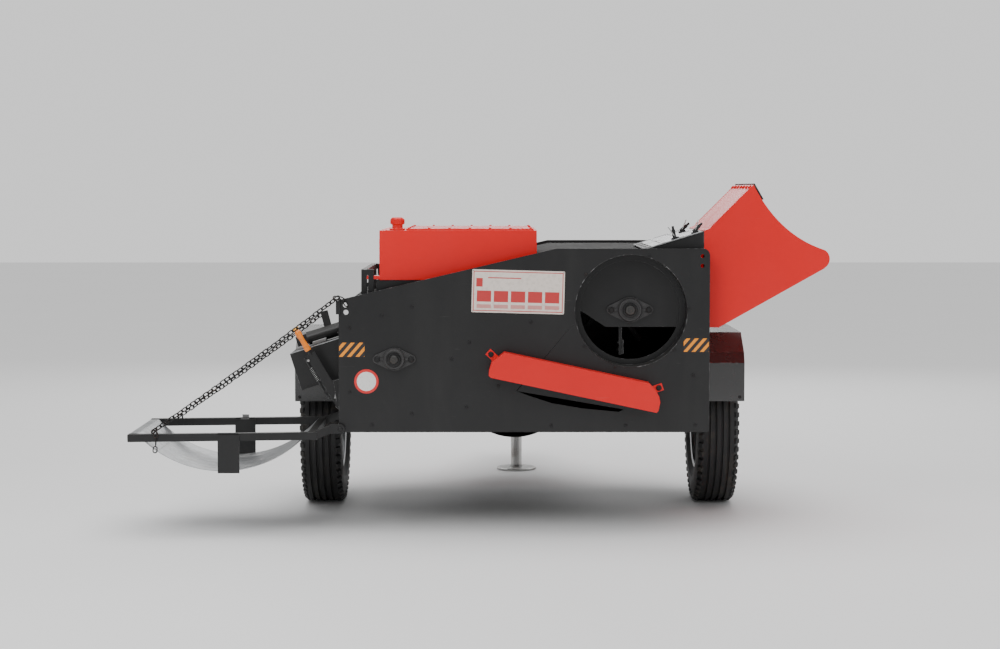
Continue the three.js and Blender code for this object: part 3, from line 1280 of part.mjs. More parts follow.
function gearbox() {
  const half = GEARBOX_WIDTH / 2;
  const bottom = GEARBOX_Z - GEARBOX_HEIGHT / 2;
  const top = GEARBOX_Z + GEARBOX_HEIGHT / 2;
  const chamfer = 24;
  const outline = polygon([
    [-half + chamfer, bottom],
    [half - chamfer, bottom],
    [half, bottom + chamfer],
    [half, top - chamfer],
    [half - chamfer, top],
    [-half + chamfer, top],
    [-half, top - chamfer],
    [-half, bottom + chamfer],
  ]);
  const body = alongY(outline, [GEARBOX_Y, GEARBOX_Y + GEARBOX_LENGTH]);
  const bearing = roundRodY(0, GEARBOX_Z, 52, [GEARBOX_Y + GEARBOX_LENGTH - 1, GEARBOX_Y + GEARBOX_LENGTH + 22]);
  const boreY = [GEARBOX_Y + GEARBOX_LENGTH - 60, GEARBOX_Y + GEARBOX_LENGTH + 30];
  const bore = roundRodY(0, GEARBOX_Z, PTO_RADIUS + RUNNING_CLEARANCE, boreY);
  return cut(fuse(body, bearing), bore);
}

function gearboxStand() {
  const bottom = GEARBOX_Z - GEARBOX_HEIGHT / 2 - GAP;
  const y = [GEARBOX_Y + 20, GEARBOX_Y + GEARBOX_LENGTH - 20];
  const reach = legWidthAt(GEARBOX_Y + GEARBOX_LENGTH / 2) + 40;
  const deck = block([-reach, reach], y, [LEG_TOP + GAP, LEG_TOP + 10]);
  const columnY = [y[0] + 20, y[1] - 20];
  const column = block([-70, 70], columnY, [LEG_TOP + 9, bottom]);
  const inside = block([-62, 62], [columnY[0] - 1, columnY[1] + 1], [LEG_TOP + 10, bottom - 10]);
  return cut(fuse(deck, column), inside);
}

function ptoShaft() {
  const rear = GEARBOX_Y + GEARBOX_LENGTH - 55;
  const front = GEARBOX_Y + GEARBOX_LENGTH + 22 + PTO_LENGTH;
  return roundRodY(0, GEARBOX_Z, PTO_RADIUS, [rear, front]);
}

function buildDrawbar() {
  add("drawbar_left", drawbarLeg(-1), BLACK);
  add("drawbar_right", drawbarLeg(1), BLACK);
  add("drawbar_tongue", drawbarTongue(), BLACK);
  add("front_crossmember", frontCrossmember(), BLACK);
  add("jack_tube", jackTube(), BLACK);
  add("jack_leg", jackLeg(), BRIGHT_STEEL, machine);
}

function buildDrive() {
  add("rotor", rotor(), BLACK);
  add("sieve_shaft", sieveShaft(), BRIGHT_STEEL);
  add("drive_guard", driveGuard(), RED);
  add("gearbox", gearbox(), CAST);
  add("gearbox_stand", gearboxStand(), BLACK);
  add("pto_shaft", ptoShaft(), BRIGHT_STEEL);
}

buildBody();
buildFeedSide();
buildRoof();
buildLeftSide();
buildCradle();
buildRunningGear();
buildDrawbar();
buildDrive();

upper.position.z = BODY_LIFT;
machine.updateMatrixWorld(true);
const bounds = new THREE.Box3().setFromObject(machine);
const centre = bounds.getCenter(new THREE.Vector3());
machine.position.set(-centre.x, -centre.y, -bounds.min.z);

export default machine;
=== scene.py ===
"""The looks of a trailed pumpkin seed harvester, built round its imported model.

Every sub-assembly is a class that makes its own pieces and dresses them. Shapes are drawn in the
machine's building frame: millimetres, +X right seen from behind, +Y forward, +Z up, with the zero on the
ground under the middle of the axle. Datum moves them into the row frame, in metres.
"""

from __future__ import annotations

import logging
import math
import random
from dataclasses import dataclass
from enum import Enum
from functools import cache
from typing import Any, Iterable, Optional, Sequence, Union

import bmesh
import bpy
from mathutils import Matrix, Vector
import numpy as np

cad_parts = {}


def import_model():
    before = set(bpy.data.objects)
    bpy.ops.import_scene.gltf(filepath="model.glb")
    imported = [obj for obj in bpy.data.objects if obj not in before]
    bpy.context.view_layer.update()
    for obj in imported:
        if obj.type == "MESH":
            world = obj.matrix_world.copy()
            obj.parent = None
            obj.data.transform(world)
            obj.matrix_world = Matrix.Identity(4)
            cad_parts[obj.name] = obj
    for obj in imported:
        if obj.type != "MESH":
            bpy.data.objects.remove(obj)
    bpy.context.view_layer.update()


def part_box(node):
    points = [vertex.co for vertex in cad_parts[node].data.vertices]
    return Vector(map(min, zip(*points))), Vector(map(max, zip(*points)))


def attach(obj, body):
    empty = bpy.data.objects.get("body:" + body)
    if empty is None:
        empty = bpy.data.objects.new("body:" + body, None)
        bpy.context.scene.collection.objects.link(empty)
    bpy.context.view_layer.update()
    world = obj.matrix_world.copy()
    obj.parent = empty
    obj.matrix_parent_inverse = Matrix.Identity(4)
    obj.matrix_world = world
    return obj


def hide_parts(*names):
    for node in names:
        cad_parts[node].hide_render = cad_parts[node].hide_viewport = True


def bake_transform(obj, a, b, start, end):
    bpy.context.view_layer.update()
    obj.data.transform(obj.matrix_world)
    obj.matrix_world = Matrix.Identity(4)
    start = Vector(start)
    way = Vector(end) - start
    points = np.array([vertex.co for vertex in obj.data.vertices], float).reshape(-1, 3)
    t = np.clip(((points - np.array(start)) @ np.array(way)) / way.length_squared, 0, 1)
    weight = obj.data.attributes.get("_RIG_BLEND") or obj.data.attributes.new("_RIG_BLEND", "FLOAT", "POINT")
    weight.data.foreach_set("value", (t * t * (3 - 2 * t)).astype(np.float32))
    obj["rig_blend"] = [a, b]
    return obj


LOG = logging.getLogger("seed_harvester")

MM = 0.001
SHARP = math.radians(34)
EDGE = "edge"
FACING = "facing"
UP = Vector((0, 0, 1))
REARWARD = Vector((0, -1, 0))
FORWARD = Vector((0, 1, 0))

Spot = Sequence[float]
Span = tuple[float, float]
Outline = list[tuple[float, float]]
Colour = tuple[float, float, float]


# ------------------------------------------------------------------------------------------------
# Node wiring
# ------------------------------------------------------------------------------------------------


class Wiring:
    """A node tree and the one way that nodes are added to it."""

    def __init__(self, tree: bpy.types.NodeTree) -> None:
        """Keeps the tree.

        Args:
            tree: The node tree to fill.
        """
        self.tree = tree

    def add(
        self, kind: str, settings: Optional[dict[str, Any]] = None, inputs: Optional[dict[Any, Any]] = None
    ) -> bpy.types.Node:
        """Adds a node.

        Args:
            kind: The node's type.
            settings: Its properties, set first; "stops" fills a colour ramp.
            inputs: Values or links of its sockets, by name or number.

        Returns:
            The node.
        """
        node = self.tree.nodes.new(kind)
        for key, value in (settings or {}).items():
            if key == "stops":
                self._fill_ramp(node, value)
            else:
                setattr(node, key, value)
        for key, value in (inputs or {}).items():
            source = value.socket if isinstance(value, Term) else value
            if isinstance(source, bpy.types.NodeSocket):
                self.tree.links.new(source, node.inputs[key])
            else:
                node.inputs[key].default_value = source
        return node

    @staticmethod
    def _fill_ramp(node: bpy.types.Node, stops: Sequence[tuple[float, Colour]]) -> None:
        """Sets a ramp's stops.

        Args:
            node: The colour ramp.
            stops: Position and colour of each stop.
        """
        elements = node.color_ramp.elements
        while len(elements) < len(stops):
            elements.new(1.0)
        for element, (position, colour) in zip(elements, stops):
            element.position = position
            element.color = (*colour, 1.0)

    def math(self, operation: str, *operands: Union["Term", float], clamp: bool = False) -> "Term":
        """Adds a Math node.

        Args:
            operation: The node's operation.
            operands: Numbers or terms, in order.
            clamp: Whether the result is held between 0 and 1.

        Returns:
            The result as a term.
        """
        settings = {"operation": operation, "use_clamp": clamp}
        node = self.add("ShaderNodeMath", settings, dict(enumerate(operands)))
        return Term(self, node.outputs[0])


class Term:
    """A number socket that Python's operators work on."""

    def __init__(self, wiring: Wiring, socket: bpy.types.NodeSocket) -> None:
        """Keeps the tree and the socket.

        Args:
            wiring: The tree that the maths is added to.
            socket: The socket that gives the number.
        """
        self.wiring = wiring
        self.socket = socket

    def __add__(self, other: Union["Term", float]) -> "Term":
        """Returns the sum."""
        return self.wiring.math("ADD", self, other)

    __radd__ = __add__

    def __mul__(self, other: Union["Term", float]) -> "Term":
        """Returns the product."""
        return self.wiring.math("MULTIPLY", self, other)

    __rmul__ = __mul__

    def __sub__(self, other: Union["Term", float]) -> "Term":
        """Returns the difference."""
        return self.wiring.math("SUBTRACT", self, other)

    def __rsub__(self, other: float) -> "Term":
        """Returns the difference from a number."""
        return self.wiring.math("SUBTRACT", other, self)

    def __truediv__(self, other: Union["Term", float]) -> "Term":
        """Returns the quotient."""
        return self.wiring.math("DIVIDE", self, other)

    def fract(self) -> "Term":
        """Returns the part after the point."""
        return self.wiring.math("FRACT", self)

    def held(self) -> "Term":
        """Returns the term held between 0 and 1."""
        return self.wiring.math("ADD", self, 0.0, clamp=True)

    def over(self, edge: float, soft: float) -> "Term":
        """A mask that rises where the term passes an edge.

        Args:
            edge: The value at the middle of the rise.
            soft: Half the width of the rise.

        Returns:
            The mask, from 0 to 1.
        """
        bounds = {"Value": self, "From Min": edge - soft, "From Max": edge + soft}
        node = self.wiring.add("ShaderNodeMapRange", {"interpolation_type": "SMOOTHSTEP"}, bounds)
        return Term(self.wiring, node.outputs[0])


class Shading(Wiring):
    """One material's nodes, with the patterns that the finishes are made of."""

    def __init__(self, name: str) -> None:
        """Starts an empty material.

        Args:
            name: The material's name.
        """
        self.material = bpy.data.materials.new(name)
        self.material.use_nodes = True
        self.material.node_tree.nodes.clear()
        super().__init__(self.material.node_tree)
        coordinates = self.add("ShaderNodeTexCoord")
        self.place = coordinates.outputs["Object"]
        self.normal = coordinates.outputs["Normal"]

    def axis(self, index: int, vector: Optional[bpy.types.NodeSocket] = None) -> Term:
        """One coordinate of a vector, of the place on the piece unless another is given."""
        node = self.add("ShaderNodeSeparateXYZ", None, {0: self.place if vector is None else vector})
        return Term(self, node.outputs[index])

    def upward(self) -> Term:
        """How far a face looks up, from -1 to 1."""
        return self.axis(2, self.normal)

    def edge(self) -> Term:
        """A mask of the rounded edges of a piece."""
        return Term(self, self.add("ShaderNodeAttribute", {"attribute_name": EDGE}).outputs["Fac"])

    def noise(
        self, scale: float, detail: float = 2.0, stretch: Spot = (1, 1, 1), distortion: float = 0.0
    ) -> Term:
        """A noise pattern.

        Args:
            scale: Cells for each metre.
            detail: Octaves of finer noise.
            stretch: Scale along each axis.
            distortion: How far the pattern is swirled.

        Returns:
            The noise, about 0.5.
        """
        place = self.add("ShaderNodeMapping", None, {"Vector": self.place, "Scale": tuple(stretch)})
        values = {"Vector": place.outputs[0], "Scale": scale, "Detail": detail, "Distortion": distortion}
        return Term(self, self.add("ShaderNodeTexNoise", None, values).outputs[0])

    def cells(self, scale: float) -> Term:
        """A number for each cell of a crystal pattern.

        Args:
            scale: Cells for each metre.

        Returns:
            A number from 0 to 1, the same all over a cell.
        """
        cells = self.add("ShaderNodeTexVoronoi", None, {"Vector": self.place, "Scale": scale})
        return self.axis(0, cells.outputs["Color"])

    def mix(self, share: Term, first: Any, second: Any) -> bpy.types.NodeSocket:
        """Mixes two colours.

        Args:
            share: How much of the second shows.
            first: A colour or its socket.
            second: A colour or its socket.

        Returns:
            The mixed colour's socket.
        """
        colours = [
            value if isinstance(value, bpy.types.NodeSocket) else (*value, 1.0) for value in (first, second)
        ]
        inputs = {0: share, 6: colours[0], 7: colours[1]}
        return self.add("ShaderNodeMix", {"data_type": "RGBA"}, inputs).outputs[2]

    def bump(self, height: Term, depth: float) -> bpy.types.NodeSocket:
        """Turns a height into a normal.

        Args:
            height: The height, from 0 to 1.
            depth: What a height of 1 measures, in metres.

        Returns:
            The normal's socket.
        """
        return self.add("ShaderNodeBump", None, {"Height": height, "Distance": depth}).outputs[0]

    def surface(self, **sockets: Any) -> bpy.types.Material:
        """Ends the material in one surface shader.

        Args:
            sockets: Values or links, with the socket's name in small letters joined by underscores.

        Returns:
            The material.
        """
        inputs = {}
        for key, value in sockets.items():
            name = key.replace("_", " ").title().replace("Ior", "IOR")
            inputs[name] = (*value, 1.0) if isinstance(value, tuple) and len(value) == 3 else value
        shader = self.add("ShaderNodeBsdfPrincipled", None, inputs)
        self.add("ShaderNodeOutputMaterial", None, {"Surface": shader.outputs[0]})
        return self.material


# ------------------------------------------------------------------------------------------------
# Finishes
# ------------------------------------------------------------------------------------------------


class Slot(Enum):
    """The record's material slots."""

    BLACK = "black_paint"
    RED = "red_paint"
    ZINC = "galvanised"
    STEEL = "bright_steel"
    IRON = "cast_iron"
    TYRE = "tyre_rubber"
    RUBBER = "black_rubber"
    GRIP = "orange_grip"


@dataclass(frozen=True)
class Finish:
    """What a piece is covered with, and the slot that it stands for."""

    name: str
    slot: Slot

    def build(self) -> bpy.types.Material:
        """Makes the material; each finish has its own."""
        raise NotImplementedError


@cache
def material_of(finish: Finish) -> bpy.types.Material:
    """Makes each finish's material once.

    Args:
        finish: The finish.

    Returns:
        Its material.
    """
    return finish.build()


@dataclass(frozen=True)
class Paint(Finish):
    """Satin powder paint over steel, with dust on what looks up and wear on the edges."""

    colour: Colour
    shade: Colour
    roughness: float = 0.34
    sheen: float = 0.25
    dust: float = 0.5
    dust_colour: Colour = (0.30, 0.28, 0.25)
    wear: float = 0.5
    bare: Colour = (0.42, 0.42, 0.43)
    gloss: float = 0.32

    def build(self) -> bpy.types.Material:
        """Returns the paint's material."""
        shading = Shading(self.name)
        drift = shading.noise(1.7, 5.0)
        wipe = shading.noise(7.0, 6.0, (1.0, 1.0, 0.28), 0.6)
        grime = shading.noise(46.0, 6.0)
        specks = shading.noise(520.0, 1.0).over(0.70, 0.03)
        scratches = shading.noise(60.0, 2.0, (0.12, 1.0, 3.0), 1.4).over(0.74, 0.015)
        upward = shading.upward().over(0.62, 0.3)
        settled = (upward * (0.35 + grime * 0.5) + specks * drift.over(0.5, 0.08) * 0.4) * self.dust
        haze = wipe.over(0.62, 0.2) * 0.16 * self.dust
        chips = shading.edge() * (grime * 0.6 + wipe * 0.4).over(0.56, 0.05) * self.wear
        paint = shading.mix((drift - 0.35) * 1.3 + (grime - 0.5) * 0.25, self.colour, self.shade)
        dusted = shading.mix((settled + haze + scratches * 0.12).held(), paint, self.dust_colour)
        base = shading.mix(chips.held(), dusted, self.bare)
        peel = shading.noise(230.0, 2.0)
        dents = shading.noise(5.5, 1.0)
        rough = self.roughness + (wipe - 0.5) * 0.22 + settled * 0.35 + (grime - 0.5) * 0.08 + scratches * 0.1
        return shading.surface(
            base_color=base,
            roughness=rough.held(),
            metallic=(chips * 0.85).held(),
            coat_weight=(self.sheen - settled).held(),
            coat_roughness=0.16,
            specular_ior_level=self.gloss,
            normal=shading.bump(peel * 0.12 + dents * 1.4 - chips * 0.3, 0.0011),
        )


@dataclass(frozen=True)
class Zinc(Finish):
    """Galvanised sheet: a metal with flat crystals, rub marks and dull patches."""

    tone: Colour = (0.52, 0.53, 0.54)
    dark: Colour = (0.24, 0.245, 0.25)
    roughness: float = 0.38
    crystals: float = 70.0

    def build(self) -> bpy.types.Material:
        """Returns the sheet's material."""
        shading = Shading(self.name)
        flake = shading.cells(self.crystals) * 0.6 + shading.cells(self.crystals * 2.3) * 0.4
        cloud = shading.noise(3.0, 6.0)
        rubs = shading.noise(26.0, 4.0, (0.2, 1.0, 1.0), 0.5)
        stain = shading.noise(14.0, 6.0).over(0.63, 0.1) * 0.35
        share = (flake - 0.5) * 0.45 + cloud * 0.6 + (rubs - 0.5) * 0.5
        metal = shading.mix(share.held(), self.tone, self.dark)
        base = shading.mix(stain, metal, (0.36, 0.34, 0.31))
        rough = self.roughness + (flake - 0.5) * 0.12 + (rubs - 0.5) * 0.3 + stain * 0.4
        waves = shading.noise(9.0, 2.0)
        return shading.surface(
            base_color=base,
            metallic=(0.9 - stain * 1.2).held(),
            roughness=rough.held(),
            normal=shading.bump(waves * 2.0 + rubs * 0.12 + flake * 0.05, 0.0009),
        )


@dataclass(frozen=True)
class Metal(Finish):
    """Worked or plated steel, with tool marks, dirt and rust where asked."""

    tone: Colour
    roughness: float = 0.34
    rust: float = 0.15
    marks: Spot = (1.0, 1.0, 1.0)

    def build(self) -> bpy.types.Material:
        """Returns the metal's material."""
        shading = Shading(self.name)
        cloud = shading.noise(11.0, 6.0)
        brushed = shading.noise(160.0, 3.0, self.marks)
        speck = shading.noise(210.0, 4.0)
        rust = ((cloud * 0.55 + speck * 0.45).over(0.57, 0.07) * self.rust).held()
        dark = tuple(channel * 0.55 for channel in self.tone)
        metal = shading.mix((cloud * 0.7 + (brushed - 0.5) * 0.4).held(), self.tone, dark)
        base = shading.mix(rust, metal, (0.16, 0.065, 0.028))
        rough = self.roughness + (brushed - 0.5) * 0.2 + rust * 0.5 + (cloud - 0.5) * 0.2
        return shading.surface(
            base_color=base,
            metallic=(0.95 - rust * 1.6).held(),
            roughness=rough.held(),
            normal=shading.bump(brushed * 0.2 + rust * 0.6 + cloud * 0.2, 0.0006),
        )


@dataclass(frozen=True)
class Casting(Finish):
    """Painted cast iron with a sandy skin, oily near its joints."""

    colour: Colour = (0.022, 0.022, 0.024)

    def build(self) -> bpy.types.Material:
        """Returns the casting's material."""
        shading = Shading(self.name)
        sand = shading.noise(330.0, 3.0)
        lumps = shading.noise(48.0, 3.0)
        oil = shading.noise(12.0, 4.0).over(0.58, 0.12)
        worn = shading.edge() * lumps.over(0.5, 0.08)
        base = shading.mix(sand * 0.8, self.colour, (0.060, 0.058, 0.056))
        base = shading.mix((worn * 0.55).held(), base, (0.24, 0.235, 0.23))
        return shading.surface(
            base_color=base,
            roughness=(0.58 - oil * 0.24 + (sand - 0.5) * 0.2).held(),
            metallic=(0.2 + worn * 0.5).held(),
            normal=shading.bump(sand * 0.5 + lumps * 0.8, 0.0012),
        )


@dataclass(frozen=True)
class Rubber(Finish):
    """Moulded rubber with a dry bloom, and dust in its hollows."""

    colour: Colour = (0.012, 0.012, 0.013)
    bloom: float = 0.5
    dust: float = 0.3

    def build(self) -> bpy.types.Material:
        """Returns the rubber's material."""
        shading = Shading(self.name)
        grain = shading.noise(420.0, 2.0)
        cloud = shading.noise(6.0, 6.0)
        mud = shading.noise(24.0, 6.0).over(0.58, 0.12) * shading.noise(3.0, 2.0).over(0.5, 0.2)
        base = shading.mix((cloud * self.bloom).held(), self.colour, (0.038, 0.037, 0.036))
        base = shading.mix((mud * self.dust).held(), base, (0.16, 0.135, 0.105))
        return shading.surface(
            base_color=base,
            roughness=(0.60 + (cloud - 0.5) * 0.3 + mud * 0.25 + (grain - 0.5) * 0.1).held(),
            specular_ior_level=0.42,
            normal=shading.bump(grain * 0.35 + mud * 0.5, 0.0007),
        )


@dataclass(frozen=True)
class Moulding(Finish):
    """A moulded plastic hand grip whose colour pales towards its end."""

    colour: Colour
    end_colour: Colour
    end: tuple[float, float, float]
    reach: float

    def build(self) -> bpy.types.Material:
        """Returns the plastic's material."""
        shading = Shading(self.name)
        offset = shading.add(
            "ShaderNodeVectorMath", {"operation": "DISTANCE"}, {0: shading.place, 1: self.end}
        )
        near_end = 1.0 - Term(shading, offset.outputs["Value"]).over(self.reach, self.reach * 0.3)
        grain = shading.noise(600.0, 2.0)
        grime = shading.noise(70.0, 5.0)
        clean = shading.mix(near_end, self.colour, self.end_colour)
        base = shading.mix((grime.over(0.6, 0.12) * 0.35).held(), clean, (0.20, 0.10, 0.04))
        return shading.surface(
            base_color=base,
            roughness=(0.36 + (grime - 0.5) * 0.3).held(),
            coat_weight=0.15,
            normal=shading.bump(grain * 0.4 + grime * 0.3, 0.0004),
        )


@dataclass(frozen=True)
class Hazard(Finish):
    """A reflective sticker with slanting stripes."""

    corner: tuple[float, float, float]
    stripe: Colour = (0.92, 0.30, 0.004)
    ground: Colour = (0.014, 0.014, 0.015)
    period: float = 0.0335
    lean: float = 1.15

    def build(self) -> bpy.types.Material:
        """Returns the sticker's material."""
        shading = Shading(self.name)
        run = (shading.axis(0) - self.corner[0]) - (shading.axis(2) - self.corner[2]) / self.lean
        band = (run / self.period + 0.1).fract()
        mask = band.over(0.04, 0.012) * (1.0 - band.over(0.50, 0.012))
        scuff = shading.noise(90.0, 6.0)
        worn = scuff.over(0.66, 0.06)
        weave = shading.cells(900.0)
        base = shading.mix(mask * (1.0 - worn * 0.5), self.ground, self.stripe)
        return shading.surface(
            base_color=base,
            roughness=(0.36 + worn * 0.3 + (scuff - 0.5) * 0.2).held(),
            coat_weight=0.2,
            normal=shading.bump(weave * 0.05 + scuff * 0.3, 0.0002),
        )


@dataclass(frozen=True)
class Roundel(Finish):
    """A white disc in a red ring, blank."""

    middle: tuple[float, float, float]
    ring_inside: float
    ring_outside: float

    def build(self) -> bpy.types.Material:
        """Returns the disc's material."""
        shading = Shading(self.name)
        offset = shading.add(
            "ShaderNodeVectorMath", {"operation": "DISTANCE"}, {0: shading.place, 1: self.middle}
        )
        radius = Term(shading, offset.outputs["Value"])
        ring = radius.over(self.ring_inside, 0.0004) * (1.0 - radius.over(self.ring_outside, 0.0004))
        scuff = shading.noise(110.0, 6.0)
        face = shading.mix(scuff.over(0.62, 0.1) * 0.3, (0.78, 0.77, 0.75), (0.36, 0.35, 0.33))
        base = shading.mix(ring, face, (0.66, 0.022, 0.020))
        return shading.surface(
            base_color=base,
            roughness=(0.34 + (scuff - 0.5) * 0.3).held(),
            coat_weight=0.25,
            normal=shading.bump(scuff, 0.0002),
        )


@dataclass(frozen=True)
class NamePlate(Finish):
    """A printed plate, left blank: a cream ground, a red border and a row of red panels."""

    middle: tuple[float, float, float]
    width: float
    height: float
    turn: float
    red: Colour = (0.52, 0.035, 0.035)
    cream: Colour = (0.74, 0.66, 0.60)

    def build(self) -> bpy.types.Material:
        """Returns the plate's material."""
        shading = Shading(self.name)
        local = shading.add("ShaderNodeMapping", {"vector_type": "TEXTURE"}, {
            "Vector": shading.place, "Location": self.middle, "Rotation": (0.0, self.turn, 0.0)
        })
        across = shading.axis(0, local.outputs[0]) / self.width
        rise = shading.axis(2, local.outputs[0]) / self.height
        soft = 0.002

        def window(low: float, high: float, value: Term) -> Term:
            """Returns a mask between two values."""
            return value.over(low, soft) * (1.0 - value.over(high, soft))

        inside = window(-0.485, 0.485, across) * window(-0.465, 0.465, rise)
        line = window(-0.476, 0.476, across) * window(-0.445, 0.445, rise)
        border = inside - line
        cell = ((across + 0.46) / 0.184).fract()
        panel_rows = window(-0.25, 0.01, rise) + window(-0.40, -0.31, rise) * 0.6
        panels = window(0.08, 0.92, cell) * window(-0.46, 0.46, across) * panel_rows
        badge = window(-0.455, -0.385, across) * window(0.10, 0.30, rise)
        heading = window(-0.33, 0.03, across) * window(0.30, 0.325, rise)
        ink = (border + panels + badge + heading).held()
        scuff = shading.noise(80.0, 6.0)
        ground = shading.mix((scuff.over(0.58, 0.15) * 0.35).held(), self.cream, (0.45, 0.40, 0.36))
        return shading.surface(
            base_color=shading.mix(ink, ground, self.red),
            roughness=(0.33 + (scuff - 0.5) * 0.25).held(),
            coat_weight=0.3,
            normal=shading.bump(scuff * 0.6 + ink * 0.2, 0.00015),
        )


@dataclass(frozen=True)
class StudioFloor(Finish):
    """The plain pale floor of the studio."""

    def build(self) -> bpy.types.Material:
        """Returns the floor's material."""
        shading = Shading(self.name)
        cloud = shading.noise(0.7, 3.0)
        base = shading.mix(cloud, (0.86, 0.86, 0.86), (0.83, 0.83, 0.83))
        return shading.surface(base_color=base, roughness=0.75)


BLACK_SATIN = Paint(
    "black_satin_paint", Slot.BLACK, (0.0125, 0.0125, 0.013), (0.020, 0.020, 0.0205), sheen=0.12, dust=0.22,
    dust_colour=(0.16, 0.155, 0.145),
)
BLACK_MATT = Paint(
    "black_matt_paint", Slot.BLACK, (0.010, 0.010, 0.010), (0.016, 0.016, 0.016), roughness=0.62, sheen=0.0,
    dust=0.12, dust_colour=(0.14, 0.135, 0.13), gloss=0.06,
)
BLACK_GLOSS = Paint(
    "black_gloss_paint", Slot.BLACK, (0.013, 0.013, 0.0135), (0.020, 0.020, 0.0205), roughness=0.24,
    sheen=0.8,
    dust=0.3, dust_colour=(0.16, 0.155, 0.145), gloss=0.5,
)
BLACK_FRAME = Paint(
    "black_frame_paint", Slot.BLACK, (0.012, 0.012, 0.0125), (0.021, 0.021, 0.021), roughness=0.4, sheen=0.12,
    dust=0.25, dust_colour=(0.16, 0.155, 0.145), wear=1.0,
)
RED_SATIN = Paint(
    "red_satin_paint", Slot.RED, (0.74, 0.007, 0.006), (0.60, 0.005, 0.005), roughness=0.38, dust=0.08,
    dust_colour=(0.60, 0.20, 0.16), wear=0.45, bare=(0.30, 0.16, 0.14),
)
ZINC_SHEET = Zinc("galvanised_sheet", Slot.ZINC)
ZINC_BLOCK = Zinc(
    "dull_zinc_plate", Slot.ZINC, tone=(0.34, 0.34, 0.34), dark=(0.22, 0.22, 0.22), roughness=0.5
)
PLATED = Metal("zinc_plated_steel", Slot.STEEL, (0.55, 0.55, 0.54), 0.32, 0.25)
SHAFT_STEEL = Metal("turned_steel", Slot.STEEL, (0.42, 0.42, 0.41), 0.3, 0.35, (0.15, 6.0, 0.15))
DARK_SHAFT = Metal("oiled_shaft_steel", Slot.STEEL, (0.085, 0.084, 0.082), 0.42, 0.35, (0.15, 6.0, 0.15))
CHAIN_STEEL = Metal("dark_chain_steel", Slot.STEEL, (0.04, 0.04, 0.04), 0.4, 0.3)
WHEEL_STEEL = Metal("wheel_silver", Slot.STEEL, (0.50, 0.51, 0.52), 0.38, 0.12)
BLACK_FIXING = Metal("blackened_screws", Slot.STEEL, (0.045, 0.045, 0.046), 0.4, 0.1)
CAST_BLACK = Casting("black_casting", Slot.IRON)
TYRE = Rubber("tyre_rubber", Slot.TYRE)
FLAP = Rubber("flap_rubber", Slot.RUBBER, bloom=0.7, dust=0.5)
FLOOR = StudioFloor("studio_floor", Slot.BLACK)


# ------------------------------------------------------------------------------------------------
# Meshes
# ------------------------------------------------------------------------------------------------


class Datum:
    """The building frame, and how it moves into the row frame."""

    def __init__(self) -> None:
        """Finds the frame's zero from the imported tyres."""
        low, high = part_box("tyre_left")
        _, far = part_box("tyre_right")
        self.origin = Vector(((low.x + far.x) / 2, (low.y + high.y) / 2, 0.0))
        self.matrix = Matrix.Translation(self.origin) @ Matrix.Scale(MM, 4)

    def row(self, spot: Spot) -> Vector:
        """Moves a point in millimetres into the row frame."""
        return self.matrix @ Vector(spot)

    def box(self, node: str) -> tuple[Vector, Vector]:
        """Returns a CAD node's lowest and highest corners, in millimetres."""
        low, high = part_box(node)
        return (low - self.origin) / MM, (high - self.origin) / MM

    def middle(self, node: str) -> Vector:
        """Returns the middle of a CAD node's box, in millimetres."""
        low, high = self.box(node)
        return (low + high) / 2


def frame_along(direction: Spot) -> Matrix:
    """A turn that takes +Z to a direction.

    Args:
        direction: The direction.

    Returns:
        The turn as a matrix.
    """
    return Vector(direction).normalized().to_track_quat("Z", "Y").to_matrix().to_4x4()


def arc(centre: Spot, radius: float, start: float, end: float, count: int) -> Outline:
    """Points along an arc.

    Args:
        centre: The arc's centre.
        radius: Its radius.
        start: The first angle, in degrees.
        end: The last angle.
        count: How many points.

    Returns:
        The points.
    """
    angles = [math.radians(start + (end - start) * i / (count - 1)) for i in range(count)]
    return [(centre[0] + radius * math.cos(a), centre[1] + radius * math.sin(a)) for a in angles]


def ring(centre: Spot, radius: float, count: int = 48) -> Outline:
    """Points round a whole circle."""
    return arc(centre, radius, 0.0, 360.0 * (1 - 1 / count), count)


def around(centre: Span, radius: float, degrees: float) -> Span:
    """Returns the point of a circle at an angle.

    Args:
        centre: The circle's middle.
        radius: The circle's radius.
        degrees: The angle from the first axis.

    Returns:
        The point.
    """
    angle = math.radians(degrees)
    return centre[0] + radius * math.cos(angle), centre[1] + radius * math.sin(angle)


